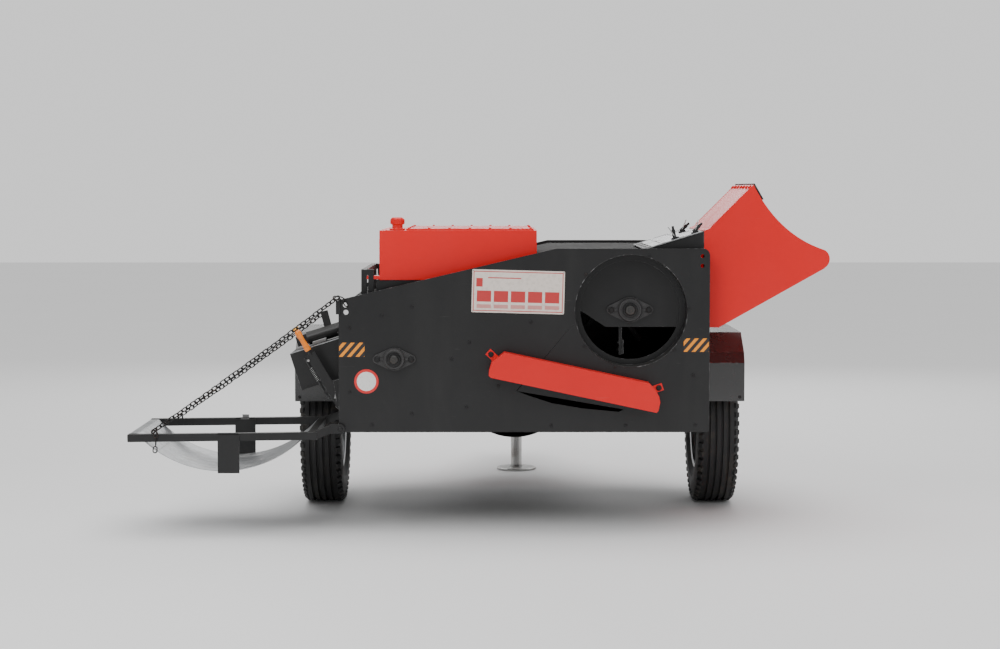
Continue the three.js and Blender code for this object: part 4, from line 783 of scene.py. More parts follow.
class Stock:
    """Closed shells in millimetres, gathered into one piece."""

    def __init__(self, datum: Datum) -> None:
        """Starts an empty piece.

        Args:
            datum: The building frame.
        """
        self.datum = datum
        self.mesh = bmesh.new()

    def shell(
        self, points: Iterable[Spot], faces: Iterable[Sequence[int]], turn: Optional[Matrix] = None
    ) -> None:
        """Adds a shell of points and faces.

        Args:
            points: The corners.
            faces: Corner numbers of each face.
            turn: A matrix for the corners.
        """
        matrix = turn or Matrix.Identity(4)
        corners = [self.mesh.verts.new(matrix @ Vector(point)) for point in points]
        made = [self.mesh.faces.new([corners[i] for i in face]) for face in faces]
        bmesh.ops.recalc_face_normals(self.mesh, faces=made)

    def block(self, low: Spot, high: Spot, turn: Optional[Matrix] = None) -> None:
        """Adds a block between two corners."""
        points = [(x, y, z) for x in (low[0], high[0]) for y in (low[1], high[1]) for z in (low[2], high[2])]
        faces = [(0, 1, 3, 2), (4, 6, 7, 5), (0, 4, 5, 1), (2, 3, 7, 6), (0, 2, 6, 4), (1, 5, 7, 3)]
        self.shell(points, faces, turn)

    def turned(self, profile: Sequence[Span], base: Spot, direction: Spot, sides: int = 96) -> None:
        """Adds a turned shape.

        Args:
            profile: Radius and height of each corner; it runs round a ring's section or from axis to axis.
            base: The point on the axis at height zero.
            direction: The axis.
            sides: How many sides the turn has.
        """
        matrix = Matrix.Translation(Vector(base)) @ frame_along(direction)
        closed = profile[0][0] > 0.0
        rows: list[list[int]] = []
        points: list[Spot] = []
        for radius, height in profile:
            if radius <= 0.0:
                rows.append([len(points)] * sides)
                points.append((0.0, 0.0, height))
                continue
            rows.append(list(range(len(points), len(points) + sides)))
            for i in range(sides):
                angle = 2 * math.pi * i / sides
                points.append((radius * math.cos(angle), radius * math.sin(angle), height))
        pairs = list(zip(rows, rows[1:])) + ([(rows[-1], rows[0])] if closed else [])
        faces = []
        for low, high in pairs:
            for i in range(sides):
                j = (i + 1) % sides
                corners = list(dict.fromkeys((low[i], low[j], high[j], high[i])))
                faces.append(corners)
        self.shell(points, faces, matrix)

    def rod(self, start: Spot, end: Spot, radius: float, sides: int = 32, chamfer: float = 0.0) -> None:
        """Adds a round rod between two points, its ends chamfered."""
        length = (Vector(end) - Vector(start)).length
        profile = [(0.0, 0.0), (radius - chamfer, 0.0), (radius, chamfer)]
        profile += [(radius, length - chamfer), (radius - chamfer, length), (0.0, length)]
        if not chamfer:
            profile = [(0.0, 0.0), (radius, 0.0), (radius, length), (0.0, length)]
        self.turned(profile, start, Vector(end) - Vector(start), sides)

    def sheet(
        self, outline: Outline, holes: Sequence[Outline], span: Span, turn: Optional[Matrix] = None
    ) -> None:
        """Adds a flat sheet whose outline is drawn in X and Z.

        Args:
            outline: The outer edge.
            holes: The edges of its holes.
            span: Its two faces' places along Y.
            turn: A matrix for the whole sheet.
        """
        sheet = bmesh.new()
        for loop in (outline, *holes):
            corners = [sheet.verts.new((x, span[0], z)) for x, z in loop]
            for i, corner in enumerate(corners):
                sheet.edges.new((corner, corners[(i + 1) % len(corners)]))
        bmesh.ops.triangle_fill(sheet, edges=sheet.edges[:], use_beauty=True, normal=(0, -1, 0))
        grown = bmesh.ops.extrude_face_region(sheet, geom=sheet.faces[:])
        moved = [item for item in grown["geom"] if isinstance(item, bmesh.types.BMVert)]
        bmesh.ops.translate(sheet, verts=moved, vec=(0.0, span[1] - span[0], 0.0))
        bmesh.ops.recalc_face_normals(sheet, faces=sheet.faces[:])
        self.absorb(sheet, turn)

    def pipe(self, path: Sequence[Spot], radius: float, sides: int = 16) -> None:
        """Adds a round bar along a path, with flat ends."""
        spots = [Vector(point) for point in path]
        rows = []
        points: list[Vector] = []
        twist = frame_along(spots[1] - spots[0]).to_quaternion()
        for i, spot in enumerate(spots):
            ahead = spots[min(i + 1, len(spots) - 1)] - spots[max(i - 1, 0)]
            heading = twist @ UP
            twist = heading.rotation_difference(ahead.normalized()) @ twist
            rows.append(range(len(points), len(points) + sides))
            for k in range(sides):
                angle = 2 * math.pi * k / sides
                points.append(
                    spot + twist @ Vector((radius * math.cos(angle), radius * math.sin(angle), 0.0))
                )
        faces: list[Sequence[int]] = [tuple(rows[0]), tuple(rows[-1])]
        for low, high in zip(rows, rows[1:]):
            faces += [(low[k], low[(k + 1) % sides], high[(k + 1) % sides], high[k]) for k in range(sides)]
        self.shell(points, faces)

    def copied(self, node: str) -> None:
        """Adds a merged copy of a CAD node's mesh, its flat faces whole."""
        copy = bmesh.new()
        copy.from_mesh(bpy.data.objects[node].data)
        bmesh.ops.transform(copy, matrix=self.datum.matrix.inverted(), verts=copy.verts[:])
        bmesh.ops.remove_doubles(copy, verts=copy.verts[:], dist=0.01)
        bmesh.ops.dissolve_limit(
            copy, angle_limit=math.radians(0.6), verts=copy.verts[:], edges=copy.edges[:], delimit={"NORMAL"}
        )
        self.absorb(copy)

    def absorb(self, other: bmesh.types.BMesh, turn: Optional[Matrix] = None) -> None:
        """Adds another mesh's shells and frees it."""
        if turn is not None:
            bmesh.ops.transform(other, matrix=turn, verts=other.verts[:])
        scratch = bpy.data.meshes.new("scratch")
        other.to_mesh(scratch)
        other.free()
        self.mesh.from_mesh(scratch)
        bpy.data.meshes.remove(scratch)

    def finish(self, name: str, bevel: float = 1.0, segments: int = 2) -> bpy.types.Object:
        """Rounds the edges and makes the object.

        Args:
            name: The piece's name.
            bevel: How wide the rounded edges are, in millimetres; none if zero.
            segments: How many faces cross a rounded edge.

        Returns:
            The object, in the row frame.
        """
        mesh = bpy.data.meshes.new(name)
        self.mesh.to_mesh(mesh)
        self.mesh.free()
        for _ in range(2):
            mesh.materials.append(bpy.data.materials.get("blank") or bpy.data.materials.new("blank"))
        piece = bpy.data.objects.new(name, mesh)
        bpy.context.scene.collection.objects.link(piece)
        if bevel > 0.0:
            rounding = piece.modifiers.new("rounding", "BEVEL")
            rounding.width = bevel
            rounding.segments = segments
            rounding.angle_limit = math.radians(28)
            rounding.limit_method = "ANGLE"
            rounding.material = 1
            rounding.miter_outer = "MITER_ARC"
            flatten(piece)
        mesh = piece.data
        mask = [float(face.material_index == 1) for face in mesh.polygons]
        layer = mesh.attributes.new(EDGE, "FLOAT", "FACE")
        layer.data.foreach_set("value", mask)
        mesh.polygons.foreach_set("material_index", [0] * len(mask))
        mesh.polygons.foreach_set("use_smooth", [True] * len(mask))
        mesh.set_sharp_from_angle(angle=SHARP)
        evening = piece.modifiers.new("evening", "WEIGHTED_NORMAL")
        evening.keep_sharp = True
        flatten(piece)
        piece.data.transform(self.datum.matrix)
        return piece


def flatten(piece: bpy.types.Object) -> bpy.types.Object:
    """Turns a piece's modifiers into its mesh.

    Args:
        piece: The piece.

    Returns:
        The same piece, with no modifiers.
    """
    bpy.context.view_layer.update()
    evaluated = piece.evaluated_get(bpy.context.evaluated_depsgraph_get())
    mesh = bpy.data.meshes.new_from_object(evaluated)
    old = piece.data
    piece.modifiers.clear()
    piece.data = mesh
    mesh.name = piece.name
    bpy.data.meshes.remove(old)
    return piece


def dress(piece: bpy.types.Object, finish: Finish, body: str = "root", *nodes: str) -> bpy.types.Object:
    """Gives a piece its finish, its body and the CAD nodes that it stands for.

    Args:
        piece: The piece.
        finish: Its finish.
        body: The body that it rides on.
        nodes: The CAD nodes that it replaces.

    Returns:
        The piece.
    """
    piece.data.materials.clear()
    piece.data.materials.append(material_of(finish))
    if "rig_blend" not in piece:
        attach(piece, body)
    if nodes:
        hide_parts(*nodes)
    LOG.info("%s: %d faces on %s", piece.name, len(piece.data.polygons), body)
    return piece


# ------------------------------------------------------------------------------------------------
# Repeated pieces by Geometry Nodes
# ------------------------------------------------------------------------------------------------


class Forge(Wiring):
    """A Geometry Nodes tree with named inputs, ended in real meshes with a material."""

    def __init__(self, name: str, numbers: dict[str, float]) -> None:
        """Makes the tree's sockets.

        Args:
            name: The tree's name.
            numbers: Its named sizes, in metres, and their usual values.
        """
        super().__init__(bpy.data.node_groups.new(name, "GeometryNodeTree"))
        sockets = self.tree.interface
        self.identifiers: dict[str, str] = {}
        sockets.new_socket("Geometry", in_out="INPUT", socket_type="NodeSocketGeometry")
        for key, value in numbers.items():
            socket = sockets.new_socket(key, in_out="INPUT", socket_type="NodeSocketFloat")
            socket.default_value = value
            self.identifiers[key] = socket.identifier
        paint = sockets.new_socket("Material", in_out="INPUT", socket_type="NodeSocketMaterial")
        self.identifiers["Material"] = paint.identifier
        sockets.new_socket("Geometry", in_out="OUTPUT", socket_type="NodeSocketGeometry")
        self.entry = self.add("NodeGroupInput")

    def size(self, key: str) -> Term:
        """Returns one of the tree's named sizes."""
        return Term(self, self.entry.outputs[key])

    def vector(self, x: Any = 0.0, y: Any = 0.0, z: Any = 0.0) -> bpy.types.NodeSocket:
        """Joins three numbers in a vector."""
        return self.add("ShaderNodeCombineXYZ", None, {0: x, 1: y, 2: z}).outputs[0]

    def moved(self, shape: bpy.types.NodeSocket, **sockets: Any) -> bpy.types.NodeSocket:
        """Moves, turns or scales a shape by a Transform Geometry node."""
        inputs = {"Geometry": shape} | {key.title(): value for key, value in sockets.items()}
        return self.add("GeometryNodeTransform", None, inputs).outputs[0]

    def joined(self, *shapes: bpy.types.NodeSocket) -> bpy.types.NodeSocket:
        """Joins shapes."""
        node = self.add("GeometryNodeJoinGeometry")
        for shape in shapes:
            self.tree.links.new(shape, node.inputs[0])
        return node.outputs[0]

    def spun(self, base: bpy.types.NodeSocket, angle: Any, axis: Spot = (0, 0, 1)) -> bpy.types.NodeSocket:
        """Turns a rotation about its own axis.

        Args:
            base: The rotation.
            angle: The angle, in radians.
            axis: The axis, in the rotation's own frame.

        Returns:
            The new rotation.
        """
        turn = self.add("FunctionNodeAxisAngleToRotation", None, {"Axis": tuple(axis), "Angle": angle})
        inputs = {"Rotation": base, "Rotate By": turn.outputs[0]}
        return self.add("FunctionNodeRotateRotation", {"rotation_space": "LOCAL"}, inputs).outputs[0]

    def chance(self, low: float, high: float, seed: int) -> Term:
        """Returns a random number for each copy."""
        inputs = {"Min": low, "Max": high, "Seed": seed}
        node = self.add("FunctionNodeRandomValue", {"data_type": "FLOAT"}, None)
        for socket in node.inputs:
            if socket.enabled and socket.name in inputs:
                socket.default_value = inputs[socket.name]
        return Term(self, next(output for output in node.outputs if output.enabled))

    def end(
        self, points: Any, shape: Any, turn: Any, scale: Any = (1.0, 1.0, 1.0), smooth: bool = False
    ) -> None:
        """Copies a shape onto points and ends the tree.

        Args:
            points: The points.
            shape: The shape.
            turn: The copies' rotation.
            scale: The copies' scale.
            smooth: Whether the copies are shaded smooth.
        """
        inputs = {"Points": points, "Instance": shape, "Rotation": turn, "Scale": scale}
        copies = self.add("GeometryNodeInstanceOnPoints", None, inputs).outputs[0]
        real = self.add("GeometryNodeRealizeInstances", None, {0: copies}).outputs[0]
        inputs = {"Geometry": real, "Shade Smooth": smooth}
        shaded = self.add("GeometryNodeSetShadeSmooth", None, inputs).outputs[0]
        inputs = {"Geometry": shaded, "Material": self.entry.outputs["Material"]}
        painted = self.add("GeometryNodeSetMaterial", None, inputs).outputs[0]
        self.add("NodeGroupOutput", None, {0: painted})

    def run(self, source: bpy.types.Object, finish: Finish, sizes: dict[str, float]) -> bpy.types.Object:
        """Runs the tree on an object and keeps the result as its mesh.

        Args:
            source: The object whose points or edges the copies follow.
            finish: The copies' finish.
            sizes: The named sizes that differ from the usual ones.

        Returns:
            The same object, with a plain mesh.
        """
        modifier = source.modifiers.new("forge", "NODES")
        modifier.node_group = self.tree
        modifier[self.identifiers["Material"]] = material_of(finish)
        for key, value in sizes.items():
            modifier[self.identifiers[key]] = value
        flatten(source)
        bpy.context.view_layer.update()
        return source


def bolt_forge() -> Forge:
    """Makes the tree of hexagon-head screws with their washers.

    Returns:
        The tree; each point's "facing" says which way its screw looks.
    """
    forge = Forge("hexagon_screws", {"Radius": 0.0098, "Height": 0.0066, "Washer": 0.0115})
    radius, height, washer = forge.size("Radius"), forge.size("Height"), forge.size("Washer")
    flat = height * 0.28
    disc = forge.add("GeometryNodeMeshCylinder", None, {"Vertices": 24, "Radius": washer, "Depth": flat})
    head = forge.add(
        "GeometryNodeMeshCylinder", None, {"Vertices": 6, "Radius": radius, "Depth": height * 0.8}
    )
    inputs = {"Vertices": 6, "Radius Top": radius * 0.84, "Radius Bottom": radius, "Depth": height * 0.2}
    crown = forge.add("GeometryNodeMeshCone", None, inputs)
    shape = forge.joined(
        forge.moved(disc.outputs["Mesh"], translation=forge.vector(z=flat * 0.5)),
        forge.moved(head.outputs["Mesh"], translation=forge.vector(z=flat + height * 0.4)),
        forge.moved(crown.outputs["Mesh"], translation=forge.vector(z=flat + height * 0.8)),
    )
    facing = forge.add("GeometryNodeInputNamedAttribute", {"data_type": "FLOAT_VECTOR"}, {"Name": FACING})
    inputs = {"Vector": next(output for output in facing.outputs if output.enabled)}
    aimed = forge.add("FunctionNodeAlignRotationToVector", {"axis": "Z"}, inputs)
    turn = forge.spun(aimed.outputs[0], forge.chance(0.0, math.pi / 3, 7))
    forge.end(forge.entry.outputs["Geometry"], shape, turn)
    return forge


def chain_forge() -> Forge:
    """Makes the tree of welded chain links that follow an edge path.

    Returns:
        The tree.
    """
    forge = Forge("welded_chain", {"Wire": 0.0058, "Pitch": 0.0206, "Width": 0.020})
    wire, pitch, width = forge.size("Wire"), forge.size("Pitch"), forge.size("Width")
    breadth = width - wire
    inputs = {"Width": breadth, "Height": pitch + wire}
    outline = forge.add("GeometryNodeCurvePrimitiveQuadrilateral", None, inputs)
    inputs = {"Curve": outline.outputs[0], "Radius": breadth * 0.49, "Count": 5}
    rounded = forge.add("GeometryNodeFilletCurve", {"mode": "POLY"}, inputs)
    section = forge.add("GeometryNodeCurvePrimitiveCircle", None, {"Resolution": 8, "Radius": wire * 0.5})
    inputs = {"Curve": rounded.outputs[0], "Profile Curve": section.outputs[0]}
    link = forge.add("GeometryNodeCurveToMesh", None, inputs)
    upright = forge.moved(link.outputs[0], rotation=(math.pi / 2, 0.0, 0.0))
    path = forge.add("GeometryNodeMeshToCurve", None, {"Mesh": forge.entry.outputs["Geometry"]})
    inputs = {"Curve": path.outputs[0], "Length": pitch}
    spots = forge.add("GeometryNodeCurveToPoints", {"mode": "LENGTH"}, inputs)
    number = Term(forge, forge.add("GeometryNodeInputIndex").outputs[0])
    quarter = number * (math.pi / 2) + forge.chance(-0.22, 0.22, 3) + 0.75
    turn = forge.spun(spots.outputs["Rotation"], quarter)
    forge.end(spots.outputs["Points"], upright, turn, smooth=True)
    return forge


def bead_forge() -> Forge:
    """Makes the tree of weld beads: overlapping ripples along an edge path.

    Returns:
        The tree.
    """
    forge = Forge("weld_beads", {"Radius": 0.0032, "Step": 0.0027})
    ripple = forge.add(
        "GeometryNodeMeshUVSphere", None, {"Segments": 8, "Rings": 5, "Radius": forge.size("Radius")}
    )
    path = forge.add("GeometryNodeMeshToCurve", None, {"Mesh": forge.entry.outputs["Geometry"]})
    inputs = {"Curve": path.outputs[0], "Length": forge.size("Step")}
    spots = forge.add("GeometryNodeCurveToPoints", {"mode": "LENGTH"}, inputs)
    swell = forge.chance(0.82, 1.16, 11)
    scale = forge.vector(swell, swell, 0.72)
    forge.end(spots.outputs["Points"], ripple.outputs["Mesh"], spots.outputs["Rotation"], scale, True)
    return forge


def block_forge() -> Forge:
    """Makes the tree of tapered blocks: tread lugs, louvres and the like.

    Returns:
        The tree; each point's "facing" says which way its block stands.
    """
    forge = Forge("tapered_blocks", {"Length": 0.03, "Width": 0.02, "Height": 0.01, "Taper": 0.8})
    inputs = {
        "Vertices": 4, "Radius Top": forge.size("Taper") * 0.7071, "Radius Bottom": 0.7071, "Depth": 1.0
    }
    cone = forge.add("GeometryNodeMeshCone", None, inputs)
    squared = forge.moved(cone.outputs["Mesh"], rotation=(0.0, 0.0, math.pi / 4))
    size = forge.vector(forge.size("Width"), forge.size("Length"), forge.size("Height"))
    shape = forge.moved(squared, scale=size)
    facing = forge.add("GeometryNodeInputNamedAttribute", {"data_type": "FLOAT_VECTOR"}, {"Name": FACING})
    inputs = {"Vector": next(output for output in facing.outputs if output.enabled)}
    aimed = forge.add("FunctionNodeAlignRotationToVector", {"axis": "Z"}, inputs)
    across = forge.add("GeometryNodeInputNamedAttribute", {"data_type": "FLOAT_VECTOR"}, {"Name": "across"})
    inputs = {"Rotation": aimed.outputs[0], "Vector": next(o for o in across.outputs if o.enabled)}
    aligned = forge.add("FunctionNodeAlignRotationToVector", {"axis": "Y", "pivot_axis": "Z"}, inputs)
    forge.end(forge.entry.outputs["Geometry"], shape, aligned.outputs[0])
    return forge


class Workshop:
    """The building frame and the trees, shared by all sub-assemblies."""

    def __init__(self) -> None:
        """Makes the trees once."""
        self.datum = Datum()
        self.bolts = bolt_forge()
        self.chains = chain_forge()
        self.beads = bead_forge()
        self.blocks = block_forge()

    def stock(self) -> Stock:
        """Returns an empty piece to fill."""
        return Stock(self.datum)

    def points(self, name: str, spots: Sequence[Spot], **aims: Sequence[Spot]) -> bpy.types.Object:
        """Makes an object of bare points with vectors on them.

        Args:
            name: The object's name.
            spots: The points, in millimetres.
            aims: The vectors of each point, by attribute name.

        Returns:
            The object.
        """
        mesh = bpy.data.meshes.new(name)
        mesh.from_pydata([self.datum.row(spot) for spot in spots], [], [])
        for key, vectors in aims.items():
            layer = mesh.attributes.new(key, "FLOAT_VECTOR", "POINT")
            layer.data.foreach_set("vector", [value for vector in vectors for value in vector])
        holder = bpy.data.objects.new(name, mesh)
        bpy.context.scene.collection.objects.link(holder)
        return holder

    def screws(
        self, name: str, spots: Sequence[tuple[Spot, Spot]], finish: Finish, body: str = "root",
        size: float = 10.0
    ) -> bpy.types.Object:
        """Makes a set of hexagon screws on one body.

        Args:
            name: The set's name.
            spots: Each screw's place and the way it looks.
            finish: Their finish.
            body: The body that they ride on.
            size: The thread's diameter, in millimetres.

        Returns:
            The dressed piece.
        """
        holder = self.points(name, [spot for spot, _ in spots], facing=[facing for _, facing in spots])
        sizes = {"Radius": 0.98 * size * MM, "Height": 0.66 * size * MM, "Washer": 1.15 * size * MM}
        return dress(self.bolts.run(holder, finish, sizes), finish, body)

    def path(self, name: str, routes: Sequence[Sequence[Spot]]) -> bpy.types.Object:
        """Makes an object of bare edge paths.

        Args:
            name: The object's name.
            routes: The points of each path, in millimetres.

        Returns:
            The object.
        """
        spots: list[Vector] = []
        edges: list[tuple[int, int]] = []
        for route in routes:
            first = len(spots)
            spots += [self.datum.row(spot) for spot in route]
            edges += [(first + i, first + i + 1) for i in range(len(route) - 1)]
        mesh = bpy.data.meshes.new(name)
        mesh.from_pydata(spots, edges, [])
        holder = bpy.data.objects.new(name, mesh)
        bpy.context.scene.collection.objects.link(holder)
        return holder

    def welds(
        self, name: str, routes: Sequence[Sequence[Spot]], finish: Finish, body: str = "root",
        radius: float = 3.2
    ) -> bpy.types.Object:
        """Makes weld beads along paths on one body.

        Args:
            name: The beads' name.
            routes: The points of each bead.
            finish: Their finish.
            body: The body that they ride on.
            radius: The beads' radius, in millimetres.

        Returns:
            The dressed piece.
        """
        sizes = {"Radius": radius * MM, "Step": radius * 0.85 * MM}
        return dress(self.beads.run(self.path(name, routes), finish, sizes), finish, body)

    def softened(
        self, name: str, node: str, finish: Finish, body: str = "root", bevel: float = 1.2
    ) -> bpy.types.Object:
        """Replaces a CAD node by its own shape with rounded edges.

        Args:
            name: The piece's name.
            node: The CAD node.
            finish: Its finish.
            body: The body that it rides on.
            bevel: How wide the rounded edges are, in millimetres.

        Returns:
            The dressed piece.
        """
        stock = self.stock()
        stock.copied(node)
        return dress(stock.finish(name, bevel), finish, body, node)


# ------------------------------------------------------------------------------------------------
# Threshing body
# ------------------------------------------------------------------------------------------------


@dataclass
class Body:
    """The two end plates, the shell between them, the round opening and what it shows."""

    shop: Workshop
    rotor_x: float = 440.0
    rotor_z: float = 898.0
    opening: float = 224.0
    sieve_x: float = -510.0
    sieve_z: float = 705.0
    corner: float = 28.0
    slope_end: float = 139.0
    ring_reach: float = 233.0

    def build(self) -> None:
        """Makes and dresses the body."""
        self.low, self.high = self.shop.datum.box("front_plate")
        self.face = self.shop.datum.box("body_shell")[0].y - 6.3
        self.shoulder = 942.0
        self.rear_plate()
        self.opening_ring()
        self.carrier()
        self.fixings()
        self.hood()
        self.shop.softened("front_plate_sheet", "front_plate", BLACK_SATIN)
        self.shop.softened("body_shell_sheet", "body_shell", BLACK_MATT)

    def outline(self) -> Outline:
        """Returns the end plates' outline."""
        left, right = self.low.x, self.high.x
        bottom, top = self.low.z, self.high.z
        rounded = arc((right - self.corner, top - self.corner), self.corner, 0, 90, 10)
        foot = arc((right - 8, bottom + 8), 8, -90, 0, 5)
        return [(left, bottom), *foot, *rounded, (self.slope_end, top), (left, self.shoulder)]

    def rear_plate(self) -> None:
        """The rear plate with its opening, holes, tab, pin and folded bottom lip, and a thin curved slit
        under the hood that is a painted shadow: a dark hole cut where the hood's shadow falls.
        """
        left, right, top = self.low.x, self.high.x, self.high.z
        # Painted shadow: this thin curved slit is cut where the hood's shadow falls on the plate, so its dark
        # hole stands in for that shadow.
        slot = [(-18, 576), (26, 559), (123, 527), (245, 506), (392, 492), (411, 502)]
        small = [
            (left + 28, self.shoulder - 20, 10), (left + 30, self.shoulder - 49, 10),
            (right - 30, top - 30, 8), (right - 30, top - 69, 8),
        ]
        holes = [
            ring((self.rotor_x, self.rotor_z), self.opening, 144),
            ring((self.sieve_x, self.sieve_z), 23, 32),
            [(x, z) for x, z in reversed(slot)],
            *(ring((x, z), radius, 28) for x, z, radius in small),
        ]
        plate = self.shop.stock()
        plate.sheet(self.outline(), holes, (self.face, self.face + 6))
        plate.block(
            (left - 10, self.face - 6, self.shoulder - 57), (left + 8, self.face - 0.2, self.shoulder - 2)
        )
        hinge = self.shop.datum.middle("cradle_beam")
        plate.rod((-726, self.face - 32, hinge.z), (-726, self.face, hinge.z), 8, 28, 1.5)
        dress(plate.finish("rear_plate_sheet", 1.3), BLACK_SATIN, "root", "rear_plate")
        lip = [[(x, self.face + 1, self.low.z + 1) for x in range(-700, 740, 12)]]
        self.shop.welds("bottom_lip_weld", lip, BLACK_FRAME, radius=2.6)

    def opening_ring(self) -> None:
        """The round opening's collar, with a rolled lip that stands a little proud."""
        seat = self.face + 88
        inner, outer = self.opening - 24, self.opening + 4
        front = self.face + 6.3
        ring_piece = self.shop.stock()
        profile = [
            (self.opening - 0.4, 1.5), (self.opening + 0.6, -0.6), (self.opening + 2.4, -1.2),
            (self.opening + 3.6, 0.2), (outer, front - self.face), (outer, seat - self.face + 4),
            (inner, seat - self.face + 4), (inner, seat - self.face), (self.opening - 0.4, seat - self.face),
        ]
        ring_piece.turned(profile, (self.rotor_x, self.face, self.rotor_z), FORWARD, 160)
        dress(ring_piece.finish("opening_collar", 0.8), BLACK_SATIN, "root", "opening_ring")

    def carrier(self) -> None:
        """The plate that carries the rotor's bearing, cut away below."""
        _, high = self.shop.datum.box("carrier_plate")
        face = high.y - 5
        radius = self.opening + 4
        floor = self.rotor_z - 70
        start = math.degrees(math.asin(-70 / radius))
        corner = math.degrees(math.asin(15 / radius))
        rim = arc((self.rotor_x, self.rotor_z), radius, start, 180 - corner, 120)
        outline = [(self.rotor_x - 98, floor), *rim]
        plate = self.shop.stock()
        plate.sheet(outline, [ring((self.rotor_x, self.rotor_z), 26, 40)], (face, high.y))
        dress(plate.finish("bearing_carrier", 1.0), BLACK_SATIN, "root", "carrier_plate")
        self.bearing("rotor_flange_bearing", self.rotor_x, self.rotor_z, face, 94, 52, 21.2, "rotor_bearing")
        self.bearing(
            "sieve_flange_bearing", self.sieve_x, self.sieve_z, self.face, 86, 46, 18.2, "sieve_bearing"
        )

    def bearing(
        self, name: str, x: float, z: float, face: float, reach: float, housing: float, bore: float, node: str
    ) -> None:
        """A two-bolt flange bearing: a lozenge flange, a stepped housing, an insert and a grease nipple.

        Args:
            name: The piece's name.
            x: The shaft's place.
            z: The shaft's place.
            face: The plate's face behind the flange.
            reach: From the shaft to the flange's end.
            housing: The housing's radius.
            bore: The bore's radius.
            node: The CAD node that it replaces.
        """
        end = 18.0
        arm = reach - end
        tangent = math.degrees(math.acos((housing - end) / arm))
        outline = [
            *arc((x, z), housing, tangent, 180 - tangent, 24),
            *arc((x - arm, z), end, 180 - tangent, 180 + tangent, 16),
            *arc((x, z), housing, 180 + tangent, 360 - tangent, 24),
            *arc((x + arm, z), end, -tangent, tangent, 16),
        ]
        casting = self.shop.stock()
        back = face - 0.3
        casting.sheet(outline, [ring((x, z), housing - 12, 48)], (back - 12, back))
        step = [
            (bore + 8, -3.0), (housing - 12, -3.0), (housing - 11.6, -12.0), (housing - 3, -12.5),
            (housing - 4.5, -24.0), (housing - 8, -28.5), (housing - 13, -29.0), (housing - 14, -25.5),
            (bore + 9, -25.0),
        ]
        casting.turned(step, (x, face, z), FORWARD, 96)
        for side in (-1, 1):
            boss = [(9.0, -12.0), (16.0, -12.2), (14.6, -14.6), (9.0, -14.8)]
            casting.turned(boss, (x + side * arm, face, z), FORWARD, 40)
            rib = Matrix.Translation((x + side * (housing + 2), 0, z))
            casting.block((-9, face - 18, -3.2), (9, face - 11, 3.2), rib)
        nipple = Vector((math.sin(0.5), 0.0, math.cos(0.5)))
        base = Vector((x, face - 19, z)) + nipple * (housing - 6)
        casting.turned(
            [(0, 0), (4, 0), (4, 5), (2.4, 6), (3.2, 8.5), (1.5, 10.5), (0, 10.5)], base, nipple, 20
        )
        dress(casting.finish(name, 1.6), CAST_BLACK, "root", node)
        collar = self.shop.stock()
        collar.turned(
            [(bore, -22), (bore + 7.6, -22), (bore + 7.6, -33.2), (bore, -34)], (x, face, z), FORWARD, 48
        )
        dress(collar.finish(f"{name}_insert", 0.8), BLACK_FIXING, "root")
        spots = [((x + side * arm, face - 14.8, z), REARWARD) for side in (-1, 1)]
        self.shop.screws(f"{name}_screws", spots, BLACK_FIXING, size=11)

    def fixings(self) -> None:
        """The screws of the rear plate, the front plate and the opening's ring."""
        plate = [
            (-438, 916), (-689, 831), (-689, 572), (-440, 485), (-220, 511), (-280, 704), (38, 854),
            (-92, 597),
            (-209, 773), (-600, 440), (120, 436), (420, 436), (700, 440), (690, 640), (-560, 880),
        ]
        angles = (2, 72, 141, 217, 254, 318)
        rim = [around((self.rotor_x, self.rotor_z), self.ring_reach, a) for a in angles]
        spots = [((x, self.face, z), REARWARD) for x, z in plate + rim]
        spots += [((x, self.high.y, z), FORWARD) for x, z in plate if z < 600]
        self.shop.screws("body_plate_screws", spots, BLACK_FIXING, size=6)

    def hood(self) -> None:
        """The red discharge hood with its hemmed lip, ears and screws."""
        self.shop.softened("discharge_hood_shell", "discharge_hood", RED_SATIN, bevel=2.2)
        ears = [((-122, self.face - 3.4, 724), REARWARD), ((552, self.face - 3.4, 589), REARWARD)]
        self.shop.screws("hood_screws", ears, BLACK_FIXING, size=10)


# ------------------------------------------------------------------------------------------------
# Studio
# ------------------------------------------------------------------------------------------------


